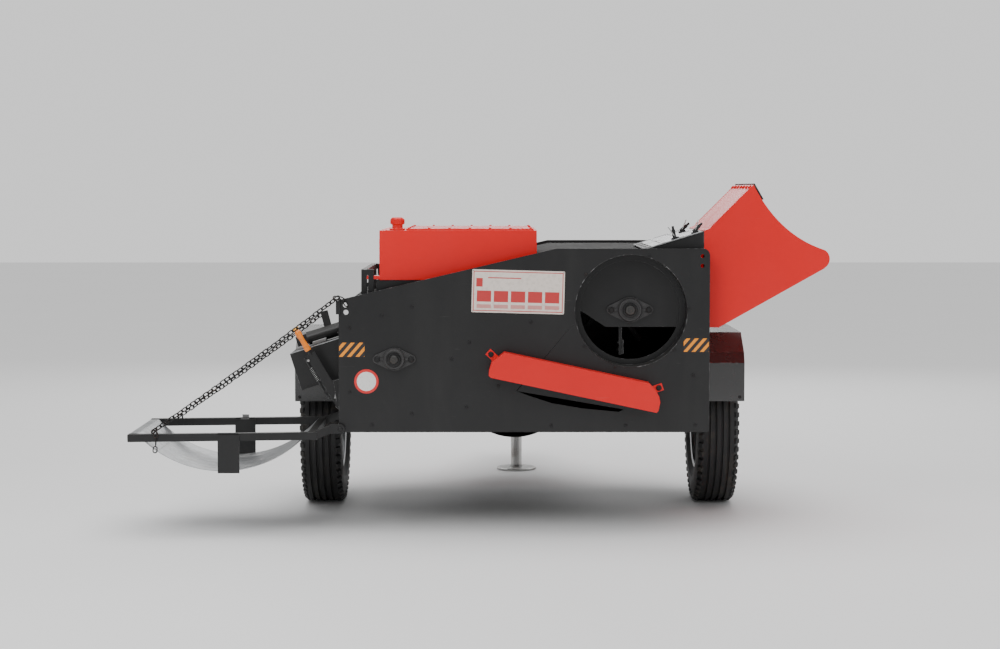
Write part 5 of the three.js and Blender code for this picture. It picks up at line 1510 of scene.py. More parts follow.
@dataclass
class Studio:
    """The pale floor, the soft lights and the camera behind the machine."""

    shop: Workshop
    lens: float = 74.5
    eye: Spot = (-106.0, -9200.0, 1382.0)
    pitch: float = 3.72
    yaw: float = 0.14

    def build(self) -> None:
        """Sets the studio up."""
        self.floor()
        self.light("key", (-2.6, -5.2, 4.6), (0.1, -0.6, 0.7), (3.2, 3.2), 170.0)
        self.light("fill", (4.6, -4.6, 2.6), (0.3, 0.0, 0.7), (3.0, 2.4), 60.0)
        self.light("top", (0.4, -0.4, 5.4), (0.2, 0.0, 0.0), (5.0, 4.2), 70.0)
        self.overcast()
        self.light("back", (0.5, 5.5, 3.4), (0.0, 0.0, 0.8), (5.0, 2.2), 110.0)
        world = bpy.data.worlds.new("studio")
        bpy.context.scene.world = world
        world.use_nodes = True
        tree = world.node_tree
        backdrop = tree.nodes["Background"]
        backdrop.inputs["Color"].default_value = (1.0, 1.0, 1.0, 1.0)
        seen = tree.nodes.new("ShaderNodeLightPath")
        strength = tree.nodes.new("ShaderNodeMath")
        strength.operation = "MULTIPLY_ADD"
        strength.inputs[1].default_value = 0.62
        strength.inputs[2].default_value = 0.38
        tree.links.new(seen.outputs["Is Camera Ray"], strength.inputs[0])
        tree.links.new(strength.outputs[0], backdrop.inputs["Strength"])
        self.camera()

    def floor(self) -> None:
        """The floor, a wide pale plane."""
        reach = 30.0
        mesh = bpy.data.meshes.new("studio_floor")
        corners = [(-reach, -reach, 0.0), (reach, -reach, 0.0), (reach, reach, 0.0), (-reach, reach, 0.0)]
        mesh.from_pydata(corners, [], [(0, 1, 2, 3)])
        mesh.materials.append(material_of(FLOOR))
        plane = bpy.data.objects.new("studio_floor", mesh)
        bpy.context.scene.collection.objects.link(plane)

    def overcast(self) -> None:
        """Adds a wide light from straight above, which evens the floor out."""
        lamp = bpy.data.lights.new("overcast", "SUN")
        lamp.energy = 1.7
        lamp.angle = math.radians(70)
        bpy.context.scene.collection.objects.link(bpy.data.objects.new("overcast", lamp))

    def light(self, name: str, place: Spot, target: Spot, size: Span, power: float) -> None:
        """Adds a soft light.

        Args:
            name: The light's name.
            place: Where it hangs, in metres.
            target: What it points at.
            size: Its width and height.
            power: Its power, in watts.
        """
        lamp = bpy.data.lights.new(name, "AREA")
        lamp.shape = "RECTANGLE"
        lamp.size, lamp.size_y = size
        lamp.energy = power
        holder = bpy.data.objects.new(name, lamp)
        holder.matrix_world = Matrix.Translation(place) @ frame_along(Vector(place) - Vector(target))
        bpy.context.scene.collection.objects.link(holder)

    def camera(self) -> None:
        """The camera, level with the roof and behind the machine."""
        lens = bpy.data.cameras.new("camera")
        lens.lens = self.lens
        lens.sensor_width = 36.0
        lens.clip_end = 100.0
        holder = bpy.data.objects.new("camera", lens)
        holder.location = self.shop.datum.row(self.eye)
        holder.rotation_euler = (math.radians(90 - self.pitch), 0.0, math.radians(-self.yaw))
        bpy.context.scene.collection.objects.link(holder)
        bpy.context.scene.camera = holder


# ------------------------------------------------------------------------------------------------
# Feed side
# ------------------------------------------------------------------------------------------------


@dataclass
class FeedSide:
    """The neck, the lid with its toggles and hinges, and the red hopper with its rubber flap."""

    shop: Workshop
    floor_slope: float = 28.6
    tip_radius: float = 42.0
    bend_x: float = 797.0
    shoulder_x: float = 760.0
    sheet: float = 3.0
    lid_slope: float = 17.3

    def build(self) -> None:
        """Makes and dresses the feed side."""
        self.low, self.high = self.shop.datum.box("feed_hopper")
        self.tip = (self.high.x - self.tip_radius, 1104.0)
        self.apex = (936.0, self.high.z)
        self.shop.softened("feed_neck_walls", "feed_neck", BLACK_SATIN)
        self.hopper()
        self.flap()
        self.lid()

    def edge_profile(self, inset: float) -> Outline:
        """Returns the hopper's side outline, moved inwards, from its lower left corner round.

        Args:
            inset: How far it is moved inwards.
        """
        slope = math.radians(self.floor_slope)
        radius = self.tip_radius - inset
        floor_x = self.bend_x - inset * math.tan(slope / 2)
        tip = arc(self.tip, radius, self.floor_slope - 90, 60, 18)
        start, end = Vector(tip[-1]), Vector(self.apex) - Vector((inset, inset * 1.6))
        pull = Vector((1040.0, 1200.0))
        mouth = [
            (1 - t) ** 2 * start + 2 * t * (1 - t) * pull + t * t * end
            for t in (i / 32 for i in range(1, 33))
        ]
        shoulder = self.apex[1] - (self.apex[0] - self.shoulder_x) - inset * math.sqrt(2)
        return [
            (self.low.x, self.low.z + inset), (floor_x, self.low.z + inset), *tip,
            *((p.x, p.y) for p in mouth),
            (self.shoulder_x, shoulder), (self.low.x, shoulder - 9),
        ]

    def hopper(self) -> None:
        """The hopper: two side sheets, the floor, the roof sheet and stiffened edges."""
        near, far = self.low.y, self.high.y
        outer = self.edge_profile(0.0)
        hopper = self.shop.stock()
        for y in (near, far - self.sheet):
            hopper.sheet(outer, [], (y, y + self.sheet))
        inner = self.edge_profile(self.sheet)
        floor_count = 2 + 12
        strip = [*outer[:floor_count], *reversed(inner[:floor_count])]
        hopper.sheet(strip, [], (near + self.sheet - 0.2, far - self.sheet + 0.2))
        apex = Vector(self.apex)
        back = Vector(outer[-2])
        corner = Vector(outer[-1])
        normal = Vector((1, -1)).normalized() * self.sheet
        roof = [corner, back, apex, apex + normal, back + normal, corner + normal]
        hopper.sheet(
            [(p.x, p.y) for p in reversed(roof)], [], (near + self.sheet - 0.2, far - self.sheet + 0.2)
        )
        dress(hopper.finish("feed_hopper_shell", 1.4), RED_SATIN, "root", "feed_hopper")
        beads = []
        for y in (near + 1, far - 1):
            ridge = [Vector(outer[-2]).lerp(apex, t / 20) for t in range(1, 20)]
            beads.append([(p.x, y, p.y) for p in ridge])
        self.shop.welds("hopper_roof_seams", beads, RED_SATIN, radius=2.0)
        seam = [[(p[0], near + 1.2, p[1]) for p in outer[1:3]]]
        self.shop.welds("hopper_floor_seam", seam, RED_SATIN, radius=1.8)
        down = Vector((-1, -1)).normalized()
        spots = []
        for i in range(7):
            place = apex + down * 16
            y = near + 30 + i * (far - near - 60) / 6
            spots.append(((place.x, y, place.y), (-1.0, 0.0, 1.0)))
        self.shop.screws("hopper_flap_screws", spots, RED_SATIN, size=8)

    def flap(self) -> None:
        """The rubber strip at the top of the mouth, with a ragged hem."""
        low, high = self.shop.datum.box("hopper_flap")
        strip = self.shop.stock()
        lean = Matrix.Translation((self.apex[0], 0, self.apex[1])) @ Matrix.Rotation(math.radians(60), 4, "Y")
        length, ribs = 74.0, 24
        depth = high.y - low.y
        draw = random.Random(5)
        for i in range(ribs):
            start = low.y + depth * i / ribs
            end = low.y + depth * (i + 1) / ribs - 1.4
            reach = length - draw.uniform(0.0, 5.0)
            strip.block((-3, start, 1.4), (reach, end, 6.6), lean)
        dress(strip.finish("hopper_mouth_flap", 1.2), FLAP, "root", "hopper_flap")

    def lid(self) -> None:
        """The galvanised lid with folded hems, its hinge and its three toggle catches."""
        low, high = self.shop.datum.box("lid")
        slope = math.radians(self.lid_slope)
        length = (high.x - low.x) / math.cos(slope)
        turn = Matrix.Translation((low.x, 0, low.z)) @ Matrix.Rotation(-slope, 4, "Y")
        panel = self.shop.stock()
        panel.block((0, low.y, 0), (length, high.y, 2.8), turn)
        for y in (low.y, high.y - 3.4):
            panel.block((2, y, 2.6), (length - 2, y + 3.4, 5.0), turn)
        for share in (0.3, 0.62):
            rib_x = length * share
            panel.block((rib_x, low.y + 24, 2.4), (rib_x + 16, high.y - 24, 5.4), turn)
        dress(panel.finish("lid_sheet", 1.0), ZINC_SHEET, "lid", "lid")
        leaves = self.shop.stock()
        knuckle = 36.0
        for y in range(int(low.y) + 40, int(high.y) - 40, 160):
            for part in range(3):
                start = y + part * knuckle
                leaves.rod(
                    (low.x, start + 0.6, low.z + 2), (low.x, start + knuckle - 0.6, low.z + 2), 3.4, 20, 0.8
                )
            leaves.block((6, y, 2.6), (34, y + 3 * knuckle, 4.8), turn)
        dress(leaves.finish("lid_hinges", 0.6), BLACK_FRAME, "lid")
        self.catches(turn, length, low, high)

    def catches(self, turn: Matrix, length: float, low: Vector, high: Vector) -> None:
        """Three toggle catches with wire bows near the lid's upper end.

        Args:
            turn: Takes the lid's own frame to the building frame.
            length: The lid's length up its slope.
            low: The lid's lowest corner.
            high: Its highest corner.
        """
        bodies = self.shop.stock()
        wires = self.shop.stock()
        seats = (
            (length - 112, low.y + 40, 82), (length - 30, low.y + 14, 28), (length - 46, high.y - 240, 24)
        )
        for x, y, raise_angle in seats:
            seat = turn @ Matrix.Translation((x, y + 14, 5.0))
            bodies.block((-15, -14, -2.5), (15, 14, 5.0), seat)
            bodies.rod(seat @ Vector((0, -9, 7)), seat @ Vector((0, 9, 7)), 2.6, 16, 0.4)
            arm = seat @ Matrix.Translation((0, 0, 7)) @ Matrix.Rotation(-math.radians(raise_angle), 4, "Y")
            bodies.block((-6, -10, -6), (30, 10, 7.5), arm)
            bodies.block((28, -7, -3.6), (44, 7, 5.4), arm)
            bow = [(4, -10, 0), (34, -11, 4), (46, -7, 7), (48, 0, 8), (46, 7, 7), (34, 11, 4), (4, 10, 0)]
            tilt = arm @ Matrix.Rotation(-math.radians(16), 4, "Y")
            wires.pipe([tilt @ Vector(point) for point in bow], 1.4, 10)
        dress(bodies.finish("lid_catches", 0.8), BLACK_FRAME, "lid")
        dress(wires.finish("lid_catch_wires", 0.0), PLATED, "lid")


# ------------------------------------------------------------------------------------------------
# Roof
# ------------------------------------------------------------------------------------------------


@dataclass
class Roof:
    """The red seed tank with its cover and cap, the wedge below it and the guard beside it."""

    shop: Workshop

    def build(self) -> None:
        """Makes and dresses the roof."""
        self.tank()
        self.cap()
        self.shop.softened("tank_rest_frame", "tank_rest", BLACK_SATIN)
        self.shop.softened("tank_guard_frame", "tank_guard", BLACK_FRAME, bevel=2.4)
        self.fixings()

    def tank(self) -> None:
        """The tank with its rounded folds, its cover plate and its seams."""
        self.low, self.high = self.shop.datum.box("seed_tank")
        self.shop.softened("seed_tank_shell", "seed_tank", RED_SATIN, bevel=3.0)
        low, high = self.low, self.high
        top = high.z - 7
        trim = self.shop.stock()
        for y in (low.y - 0.1, high.y - 2.9):
            trim.block((low.x + 4, y, top - 22), (high.x - 4, y + 3.0, top - 2))
        trim.block((low.x - 56, low.y + 1, low.z + 3), (low.x + 8, low.y + 60, low.z + 17))
        dress(trim.finish("seed_tank_rim", 1.4), RED_SATIN)
        corners = [
            [(x, low.y + 1, z) for z in range(int(low.z) + 60, int(top) - 30, 8)] for x in (low.x + 1,)
        ]
        self.shop.welds("seed_tank_seams", corners, RED_SATIN, radius=2.0)

    def cap(self) -> None:
        """The filler cap: a stepped neck and a finger-ribbed knob."""
        low, high = self.shop.datum.box("tank_cap")
        middle = self.shop.datum.middle("tank_cap")
        base = (middle.x, middle.y, low.z)
        height = high.z - low.z
        cap = self.shop.stock()
        profile = [
            (0, 0), (31.4, 0), (32, 1), (32, 5), (30.5, 6.4), (22.5, 8), (21.6, 9), (21.6, 21),
            (23.5, 22.6), (27.4, 23.4), (27.4, height - 8), (25.5, height - 4.6), (20, height - 0.6),
            (0, height),
        ]
        cap.turned(profile, base, UP, 72)
        for i in range(24):
            turn = Matrix.Translation(base) @ Matrix.Rotation(math.radians(15 * i), 4, "Z")
            cap.block((26.2, -1.5, 25.5), (29.4, 1.5, height - 9), turn)
        dress(cap.finish("tank_filler_cap", 0.7), RED_SATIN, "root", "tank_cap")

    def fixings(self) -> None:
        """Screws along the cover plate."""
        low, high = self.low, self.high
        left, right = low.x + 118, high.x - 24
        spots = []
        for i in range(7):
            x = left + (right - left) * i / 6
            spots += [((x, low.y + 22, high.z), UP), ((x, high.y - 22, high.z), UP)]
        for i in range(1, 6):
            y = low.y + (high.y - low.y) * i / 6
            spots += [((left, y, high.z), UP), ((right, y, high.z), UP)]
        self.shop.screws("tank_cover_screws", spots, RED_SATIN, size=5)


# ------------------------------------------------------------------------------------------------
# Left side: chute, cross tube and lever
# ------------------------------------------------------------------------------------------------


@dataclass
class LeftSide:
    """The discharge chute, the cross tube over it and the hand lever."""

    shop: Workshop
    chute_tilt: float = 17.5
    lever_lean: float = 30.6
    lever_x: float = -734.0
    lever_z: float = 522.0

    def build(self) -> None:
        """Makes and dresses the left side."""
        self.chute()
        self.cross_tube()
        self.lever()

    def chute(self) -> None:
        """The chute with its light upper rim and its row of small rivets."""
        self.shop.softened("chute_walls", "discharge_chute", BLACK_SATIN)
        low, high = self.shop.datum.box("discharge_chute")
        rise = math.tan(math.radians(self.chute_tilt))
        root_z = 712 + (high.x - low.x) * rise
        rim = self.shop.stock()
        tilt = Matrix.Translation((low.x, 0, 712)) @ Matrix.Rotation(-math.radians(self.chute_tilt), 4, "Y")
        reach = (high.x - low.x) / math.cos(math.radians(self.chute_tilt)) - 6
        rim.block((2, low.y - 1.2, -1.2), (reach, low.y + 5, 2.2), tilt)
        dress(rim.finish("chute_rim", 0.7), ZINC_SHEET)
        studs = [((low.x + 66 + 13 * i, low.y, root_z - 215 + 13 * i * rise), REARWARD) for i in range(4)]
        self.shop.screws("chute_rivets", studs, BLACK_FIXING, size=3)

    def cross_tube(self) -> None:
        """The cross tube with its end cap, its root flange and the post for the far chain."""
        self.shop.softened("cross_tube", "side_tube", BLACK_FRAME, bevel=1.4)
        self.shop.softened("cross_tube_saddle", "tube_saddle", ZINC_BLOCK, bevel=2.0)
        low, _ = self.shop.datum.box("side_tube")
        middle = self.shop.datum.middle("side_tube")
        spots = [
            ((low.x + 180 + 1, middle.y + s * 27, 800 + 10 * t), (-1, 0, 0)) for s in (-1, 1) for t in (-1, 1)
        ]
        self.shop.screws("cross_tube_screws", spots, BLACK_FIXING, size=6)

    def upright(self) -> Matrix:
        """Returns the lever's own frame, upright along its length, in the building frame."""
        middle = self.shop.datum.middle("hand_lever")
        place = Matrix.Translation((self.lever_x, middle.y, self.lever_z))
        return place @ Matrix.Rotation(-math.radians(self.lever_lean), 4, "Y")

    def lever(self) -> None:
        """The lever: its bar, latch rod with a spring, pivot pin and waisted grip."""
        self.shop.softened("hand_lever_bar", "hand_lever", BLACK_FRAME, "lever", 1.6)
        self.shop.softened("lever_bracket_plate", "lever_bracket", BLACK_FRAME, "root", 1.2)
        frame = self.upright()
        base = 246.0
        profile = [
            (7.4, base), (12.4, base + 0.5), (13.2, base + 6), (12.6, base + 22), (10.4, base + 40),
            (10.0, base + 50),
            (11.6, base + 66), (13.6, base + 78), (13.0, base + 86), (9.6, base + 92), (9.4, base + 94),
            (12.6, base + 98), (13.8, base + 103), (11.6, base + 108.5), (6.0, base + 109.8), (0, base + 110),
        ]
        grip = self.shop.stock()
        start = frame @ Vector((0, 0, 0))
        axis = (frame @ UP) - start
        grip.turned([(0, base + 1), *profile], start, axis, 56)
        end = self.shop.datum.row(frame @ Vector((0, 0, base + 110)))
        orange = Moulding(
            "orange_grip_plastic", Slot.GRIP, (0.95, 0.24, 0.004), (0.95, 0.52, 0.05), tuple(end), 0.017
        )
        dress(grip.finish("lever_hand_grip", 0.0), orange, "lever", "lever_grip")
        spring = self.shop.stock()
        turns, radius = 9, 6.6
        coil = [
            frame @ Vector(
                (-28 + radius * math.cos(a), radius * math.sin(a), 120 + 60 * a / (2 * math.pi * turns))
            )
            for a in (2 * math.pi * i / 16 for i in range(16 * turns + 1))
        ]
        spring.pipe(coil, 1.1, 8)
        dress(spring.finish("latch_spring", 0.0), PLATED, "lever")
        pin = self.shop.stock()
        middle = self.shop.datum.middle("hand_lever")
        rod = frame @ Vector((-20, 0, 212))
        pin.rod(rod - Vector((0, 12, 0)), rod + Vector((0, 12, 0)), 5.0, 20, 0.8)
        dress(pin.finish("latch_pin", 0.6), PLATED, "lever")
        pivot = self.shop.stock()
        face = middle.y - 4
        washer = [(8.4, -1), (15, -1), (15, -3.4), (8.4, -3.4)]
        pivot.turned(washer, (self.lever_x, face, self.lever_z), FORWARD, 36)
        dress(pivot.finish("lever_pivot_washer", 0.5), PLATED, "lever")
        gusset = self.shop.stock()
        outline = [(-756, 541), (-737, 541), (-729, 560), (-731, 618), (-743, 604)]
        gusset.sheet(outline, [], (middle.y - 13.5, middle.y - 11.0))
        dress(gusset.finish("lever_gusset", 0.6), ZINC_BLOCK)


# ------------------------------------------------------------------------------------------------
# Folding cradle
# ------------------------------------------------------------------------------------------------


@dataclass
class Cradle:
    """The cradle's bars, plates, arc sheet and the two chains that hold it."""

    shop: Workshop
    bar_low: float = 396.0
    bar_end: float = -1567.0
    bar_climb: float = 9.0
    bar_run: float = 752.0
    sag: float = 148.0
    tube: float = 30.0
    sheet: float = 3.0

    def build(self) -> None:
        """Makes and dresses the cradle."""
        for node in ("cradle_bar_near", "cradle_bar_far", "cradle_cross_inner"):
            self.shop.softened(f"{node}_steel", node, BLACK_FRAME, "cradle", 2.0)
        self.shop.softened("cradle_cross_outer_sheathed", "cradle_cross_outer", ZINC_SHEET, "cradle", 2.0)
        self.shop.softened("cradle_hinge_beam", "cradle_beam", BLACK_FRAME, "root", 2.0)
        self.trough()
        self.details()
        self.chains()

    def bar_rise(self, x: float) -> float:
        """Returns the height of the bars' middle, which climbs towards the hinge.

        Args:
            x: The place along the bars.

        Returns:
            The height.
        """
        return self.bar_low + (x - self.bar_end) * self.bar_climb / self.bar_run

    def trough(self) -> None:
        """The arc sheet, finely curved, with a hem along each straight edge."""
        low, high = self.shop.datum.box("cradle_sheet")
        chord = (high.x - low.x) / 2
        radius = (chord**2 + self.sag**2) / (2 * self.sag)
        rim = low.z + self.sag
        centre = ((low.x + high.x) / 2, rim - self.sag + radius)
        spread = math.degrees(math.asin(chord / radius))
        count = 72
        outer = arc(centre, radius, -90 - spread, -90 + spread, count)
        inner = arc(centre, radius - self.sheet, -90 + spread, -90 - spread, count)
        trough = self.shop.stock()
        trough.sheet([*outer, *inner], [], (low.y, high.y))
        for start, end in ((0, 10), (count - 11, count - 1)):
            lip_out = arc(centre, radius - self.sheet - 0.1, -90 - spread + 2 * spread * start / (count - 1),
                          -90 - spread + 2 * spread * end / (count - 1), 10)
            lip_in = [
                (centre[0] + (x - centre[0]) * 0.9965, centre[1] + (z - centre[1]) * 0.9965)
                for x, z in lip_out
            ]
            trough.sheet([*lip_out, *reversed(lip_in)], [], (low.y + 6, high.y - 6))
        dress(trough.finish("cradle_trough", 0.8), ZINC_SHEET, "cradle", "cradle_sheet")

    def details(self) -> None:
        """Weld beads, the plates' caps and the small tab on the far bar."""
        near_low, _ = self.shop.datum.box("cradle_bar_near")
        far_low, _ = self.shop.datum.box("cradle_bar_far")
        top = self.bar_low + self.tube / 2
        beads = []
        for middle_y in ((near_low.y + 5 + near_low.y + 36) / 2, far_low.y + 21):
            beads.append([(x, middle_y - 16.5, top + 4.2) for x in range(-1206, -1124, 5)])
        near_face = near_low.y + 5
        beads.append([(x, near_face - 0.5, top - 2) for x in range(-1196, -1136, 4)])
        for x in (-1552.0, -838.0):
            z = self.bar_rise(x)
            for y in (-984.5, -450.5):
                beads.append([(x - 14, y, z + 13.5), (x, y, z + 14.5), (x + 14, y, z + 13.5)])
        self.shop.welds("cradle_weld_beads", beads, BLACK_FRAME, "cradle", 2.8)
        tab = self.shop.stock()
        tab.block((-1186, -454, 409), (-1150, -420, 413))
        tab.block((-1182, -424, 412), (-1154, -420, 428))
        dress(tab.finish("cradle_tab", 1.0), ZINC_BLOCK, "cradle")
        caps = self.shop.stock()
        for y in (-1000.0, -435.0):
            caps.block((-1568.6, y - 14, 382), (-1566.8, y + 14, 410))
        dress(caps.finish("cradle_end_caps", 0.8), BLACK_FRAME, "cradle")
        eyes = self.shop.stock()
        for x, y in ((-1463.0, -1000.0), (-1445.0, -435.0)):
            bar_top = self.bar_rise(x) + self.tube / 2
            arch = ((-9, -1), (-10, 6), (-6, 13), (0, 15), (6, 13), (10, 6), (9, -1))
            loop = [(x + aside, y, bar_top + rise) for aside, rise in arch]
            eyes.pipe(loop, 3.0, 12)
        dress(eyes.finish("cradle_chain_eyes", 0.0), CHAIN_STEEL, "cradle")

    def chains(self) -> None:
        """The two chains, each following its line from the body to the cradle's bar."""
        ends = {
            "chain_near": ((-739, -937, 950), (-1463, -1000, 425)),
            "chain_far": ((-832, -598, 862), (-1445, -435, 424)),
        }
        for node, (top, foot) in ends.items():
            start, end = Vector(top), Vector(foot)
            route = [
                start.lerp(end, t / 12) - Vector((0, 0, 6 * math.sin(math.pi * t / 12))) for t in range(13)
            ]
            holder = self.shop.path(f"{node}_links", [route])
            self.shop.chains.run(holder, CHAIN_STEEL, {"Wire": 4.8 * MM})
            datum = self.shop.datum
            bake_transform(holder, "root", "cradle", start=tuple(datum.row(start)), end=tuple(datum.row(end)))
            dress(holder, CHAIN_STEEL, "root", node)
        hooks = self.shop.path(
            "chain_hook_links", [[(-740, -937, 951), (-716, -935, 947), (-704, -932.5, 928)]]
        )
        self.shop.chains.run(hooks, CHAIN_STEEL, {"Wire": 4.8 * MM})
        dress(hooks, CHAIN_STEEL, "root")
        tails = self.shop.path(
            "chain_tail_links", [[(-1454, -1020.5, 412), (-1452, -1022, 396), (-1457, -1021, 352)]]
        )
        self.shop.chains.run(tails, CHAIN_STEEL, {"Wire": 4.8 * MM})
        dress(tails, CHAIN_STEEL, "cradle")


# ------------------------------------------------------------------------------------------------
# Running gear
# ------------------------------------------------------------------------------------------------


@dataclass
class RunningGear:
    """The tyres, rims, mudguards and axle."""

    shop: Workshop
    outer: float = 350.0
    half_width: float = 90.0
    bead: float = 192.0
    groove_depth: float = 8.0
    lugs: int = 56
    studs: int = 5
    stud_circle: float = 70.0

    def build(self) -> None:
        """Makes and dresses both sides and the axle."""
        for name, side in (("left", -1), ("right", 1)):
            middle = self.shop.datum.middle(f"tyre_{name}")
            self.tyre(name, side, middle)
            self.rim(name, side, middle)
            self.shop.softened(f"mudguard_{name}_sheet", f"mudguard_{name}", BLACK_GLOSS, bevel=1.4)
            self.guard_fixings(name, side)
        self.shop.softened("axle_beam_tube", "axle_beam", BLACK_FRAME, bevel=3.0)

    def section(self) -> list[Span]:
        """Returns the tyre's section as radius and height, round the tread and back inside."""
        outer, half, bead, deep = self.outer, self.half_width, self.bead, self.groove_depth
        flank = [
            (bead, -66.5), (bead + 6, -67.5), (bead + 18, -67), (bead + 24, -71), (bead + 34, -79),
            (bead + 50, -86), (bead + 52, -88.4), (bead + 58, -88.6), (bead + 60, -87.6), (bead + 80, -half),
            (bead + 96, -89.5), (bead + 112, -86.5), (outer - 36, -84), (outer - 22, -79), (outer - 12, -73),
        ]
        tread = [(outer - 4, -66)]
        for groove in (-42.0, -14.0, 14.0, 42.0):
            top = outer - 0.00055 * groove**2
            tread += [
                (top, groove - 5.5), (top - deep, groove - 3.2), (top - deep, groove + 3.2),
                (top, groove + 5.5)
            ]
        tread.append((outer - 4, 66))
        inner = [
            (outer - 26, 46), (outer - 42, half - 24), (bead + 60, half - 22), (bead + 16, 54), (bead, 54),
        ]
        mirrored = [(radius, -height) for radius, height in reversed(flank)]
        lining = [(radius, -height) for radius, height in reversed(inner)]
        return [*flank, *tread, *mirrored, *inner, *lining]

    def tyre(self, name: str, side: int, middle: Vector) -> None:
        """A tyre with four grooves, sipes and shoulder lugs.

        Args:
            name: The wheel's side.
            side: Which way is out, -1 or 1.
            middle: The wheel's middle.
        """
        carcass = self.shop.stock()
        carcass.turned(self.section(), middle, (side, 0, 0), 144)
        dress(carcass.finish(f"tyre_{name}_carcass", 0.0), TYRE, f"wheel_{name}", f"tyre_{name}")
        spots, facing, across = [], [], []
        for i in range(self.lugs):
            angle = 2 * math.pi * i / self.lugs
            for flank in (-1, 1):
                shift = angle + (flank * 0.5) * math.pi / self.lugs
                out = Vector((0, math.cos(shift), math.sin(shift)))
                lean = (out + Vector((flank * 0.85, 0, 0))).normalized()
                spots.append(middle + out * (self.outer - 15.0) + Vector((flank * 71.5, 0, 0)))
                facing.append(lean)
                across.append(Vector((1, 0, 0)).cross(out))
        holder = self.shop.points(f"tyre_{name}_lugs", spots, facing=facing, across=across)
        sizes = {"Length": 24 * MM, "Width": 25 * MM, "Height": 13 * MM, "Taper": 0.82}
        dress(self.shop.blocks.run(holder, TYRE, sizes), TYRE, f"wheel_{name}")
        spots, facing, across = [], [], []
        for i in range(self.lugs * 2):
            angle = math.pi * (i + 0.5) / self.lugs
            out = Vector((0, math.cos(angle), math.sin(angle)))
            for row in (-28.0, 0.0, 28.0):
                spots.append(middle + out * (self.outer - 6.6 - 0.00055 * row**2) + Vector((row, 0, 0)))
                facing.append(out)
                across.append(Vector((1, 0, 0)).cross(out))
        holder = self.shop.points(f"tyre_{name}_ribs", spots, facing=facing, across=across)
        sizes = {"Length": 16.5 * MM, "Width": 16 * MM, "Height": 6 * MM, "Taper": 0.94}
        dress(self.shop.blocks.run(holder, TYRE, sizes), TYRE, f"wheel_{name}")

    def rim(self, name: str, side: int, middle: Vector) -> None:
        """A steel rim with a dished disc, hub, cap, nuts and valve.

        Args:
            name: The wheel's side.
            side: Which way is out.
            middle: The wheel's middle.
        """
        axis = Vector((side, 0, 0))
        barrel = self.shop.stock()
        profile = [
            (186, -66), (188, -72), (203, -75.5), (204, -74), (204, -70.5), (192, -68), (190, -64),
            (189, -46),
            (180, -38), (178, -20), (186, 22), (190, 40), (190, 64), (192, 68), (204, 70.5), (204, 74),
            (203, 75.5),
            (188, 72), (186, 66), (185.6, 42), (181, 22), (173, -20), (175, -40), (184.6, -48),
        ]
        barrel.turned(profile, middle, axis, 112)
        dish = [
            (49, 7), (66, 6), (88, 13), (112, 27), (138, 33), (150, 31), (168, 10), (180, 8), (180, 15),
            (170, 18), (154, 39), (140, 41.5), (110, 35.5), (86, 21), (66, 14), (49, 15),
        ]
        barrel.turned(dish, middle, axis, 112)
        dress(barrel.finish(f"rim_{name}_steel", 0.0), WHEEL_STEEL, f"wheel_{name}", f"rim_{name}")
        hub = self.shop.stock()
        section = [
            (21.4, -48), (46, -48), (48, -46), (48, 15.6), (44, 17), (42, 40), (39, 47), (30, 48.5), (27, 50),
            (21.4, 50),
        ]
        hub.turned(section, middle, axis, 72)
        cap = [(0, 50.5), (26, 50.5), (26.5, 53), (25, 62), (19, 67.5), (8, 69.5), (0, 69.8)]
        hub.turned(cap, middle, axis, 56)
        dress(hub.finish(f"hub_{name}", 0.0), CAST_BLACK, f"wheel_{name}")
        spots = []
        for i in range(self.studs):
            angle = 2 * math.pi * i / self.studs + 0.3
            spoke = Vector((0, math.cos(angle), math.sin(angle)))
            spots.append((middle + spoke * self.stud_circle + axis * 14.8, axis))
        self.shop.screws(f"wheel_nuts_{name}", spots, PLATED, f"wheel_{name}", 12)
        valve = self.shop.stock()
        foot = middle + Vector((0, 0, 172)) + axis * 26
        tip = foot + axis * 34 - Vector((0, 0, 10))
        valve.rod(foot, tip, 4.2, 20, 0.8)
        dress(valve.finish(f"valve_{name}", 0.0), FLAP, f"wheel_{name}")

    def guard_fixings(self, name: str, side: int) -> None:
        """Screws through the mudguard into its arms, and along the flap."""
        low, high = self.shop.datum.box(f"mudguard_{name}")
        inner = 765.0 * side
        spots = [((inner + side * 18, y, high.z), UP) for y in (-210, -190, 190, 210)]
        middle_x = side * 859
        spots += [((middle_x + dx, low.y, 500), REARWARD) for dx in (-80, 80)]
        self.shop.screws(f"mudguard_{name}_screws", spots, BLACK_FIXING, size=6)


# ------------------------------------------------------------------------------------------------
# Drawbar and jack
# ------------------------------------------------------------------------------------------------


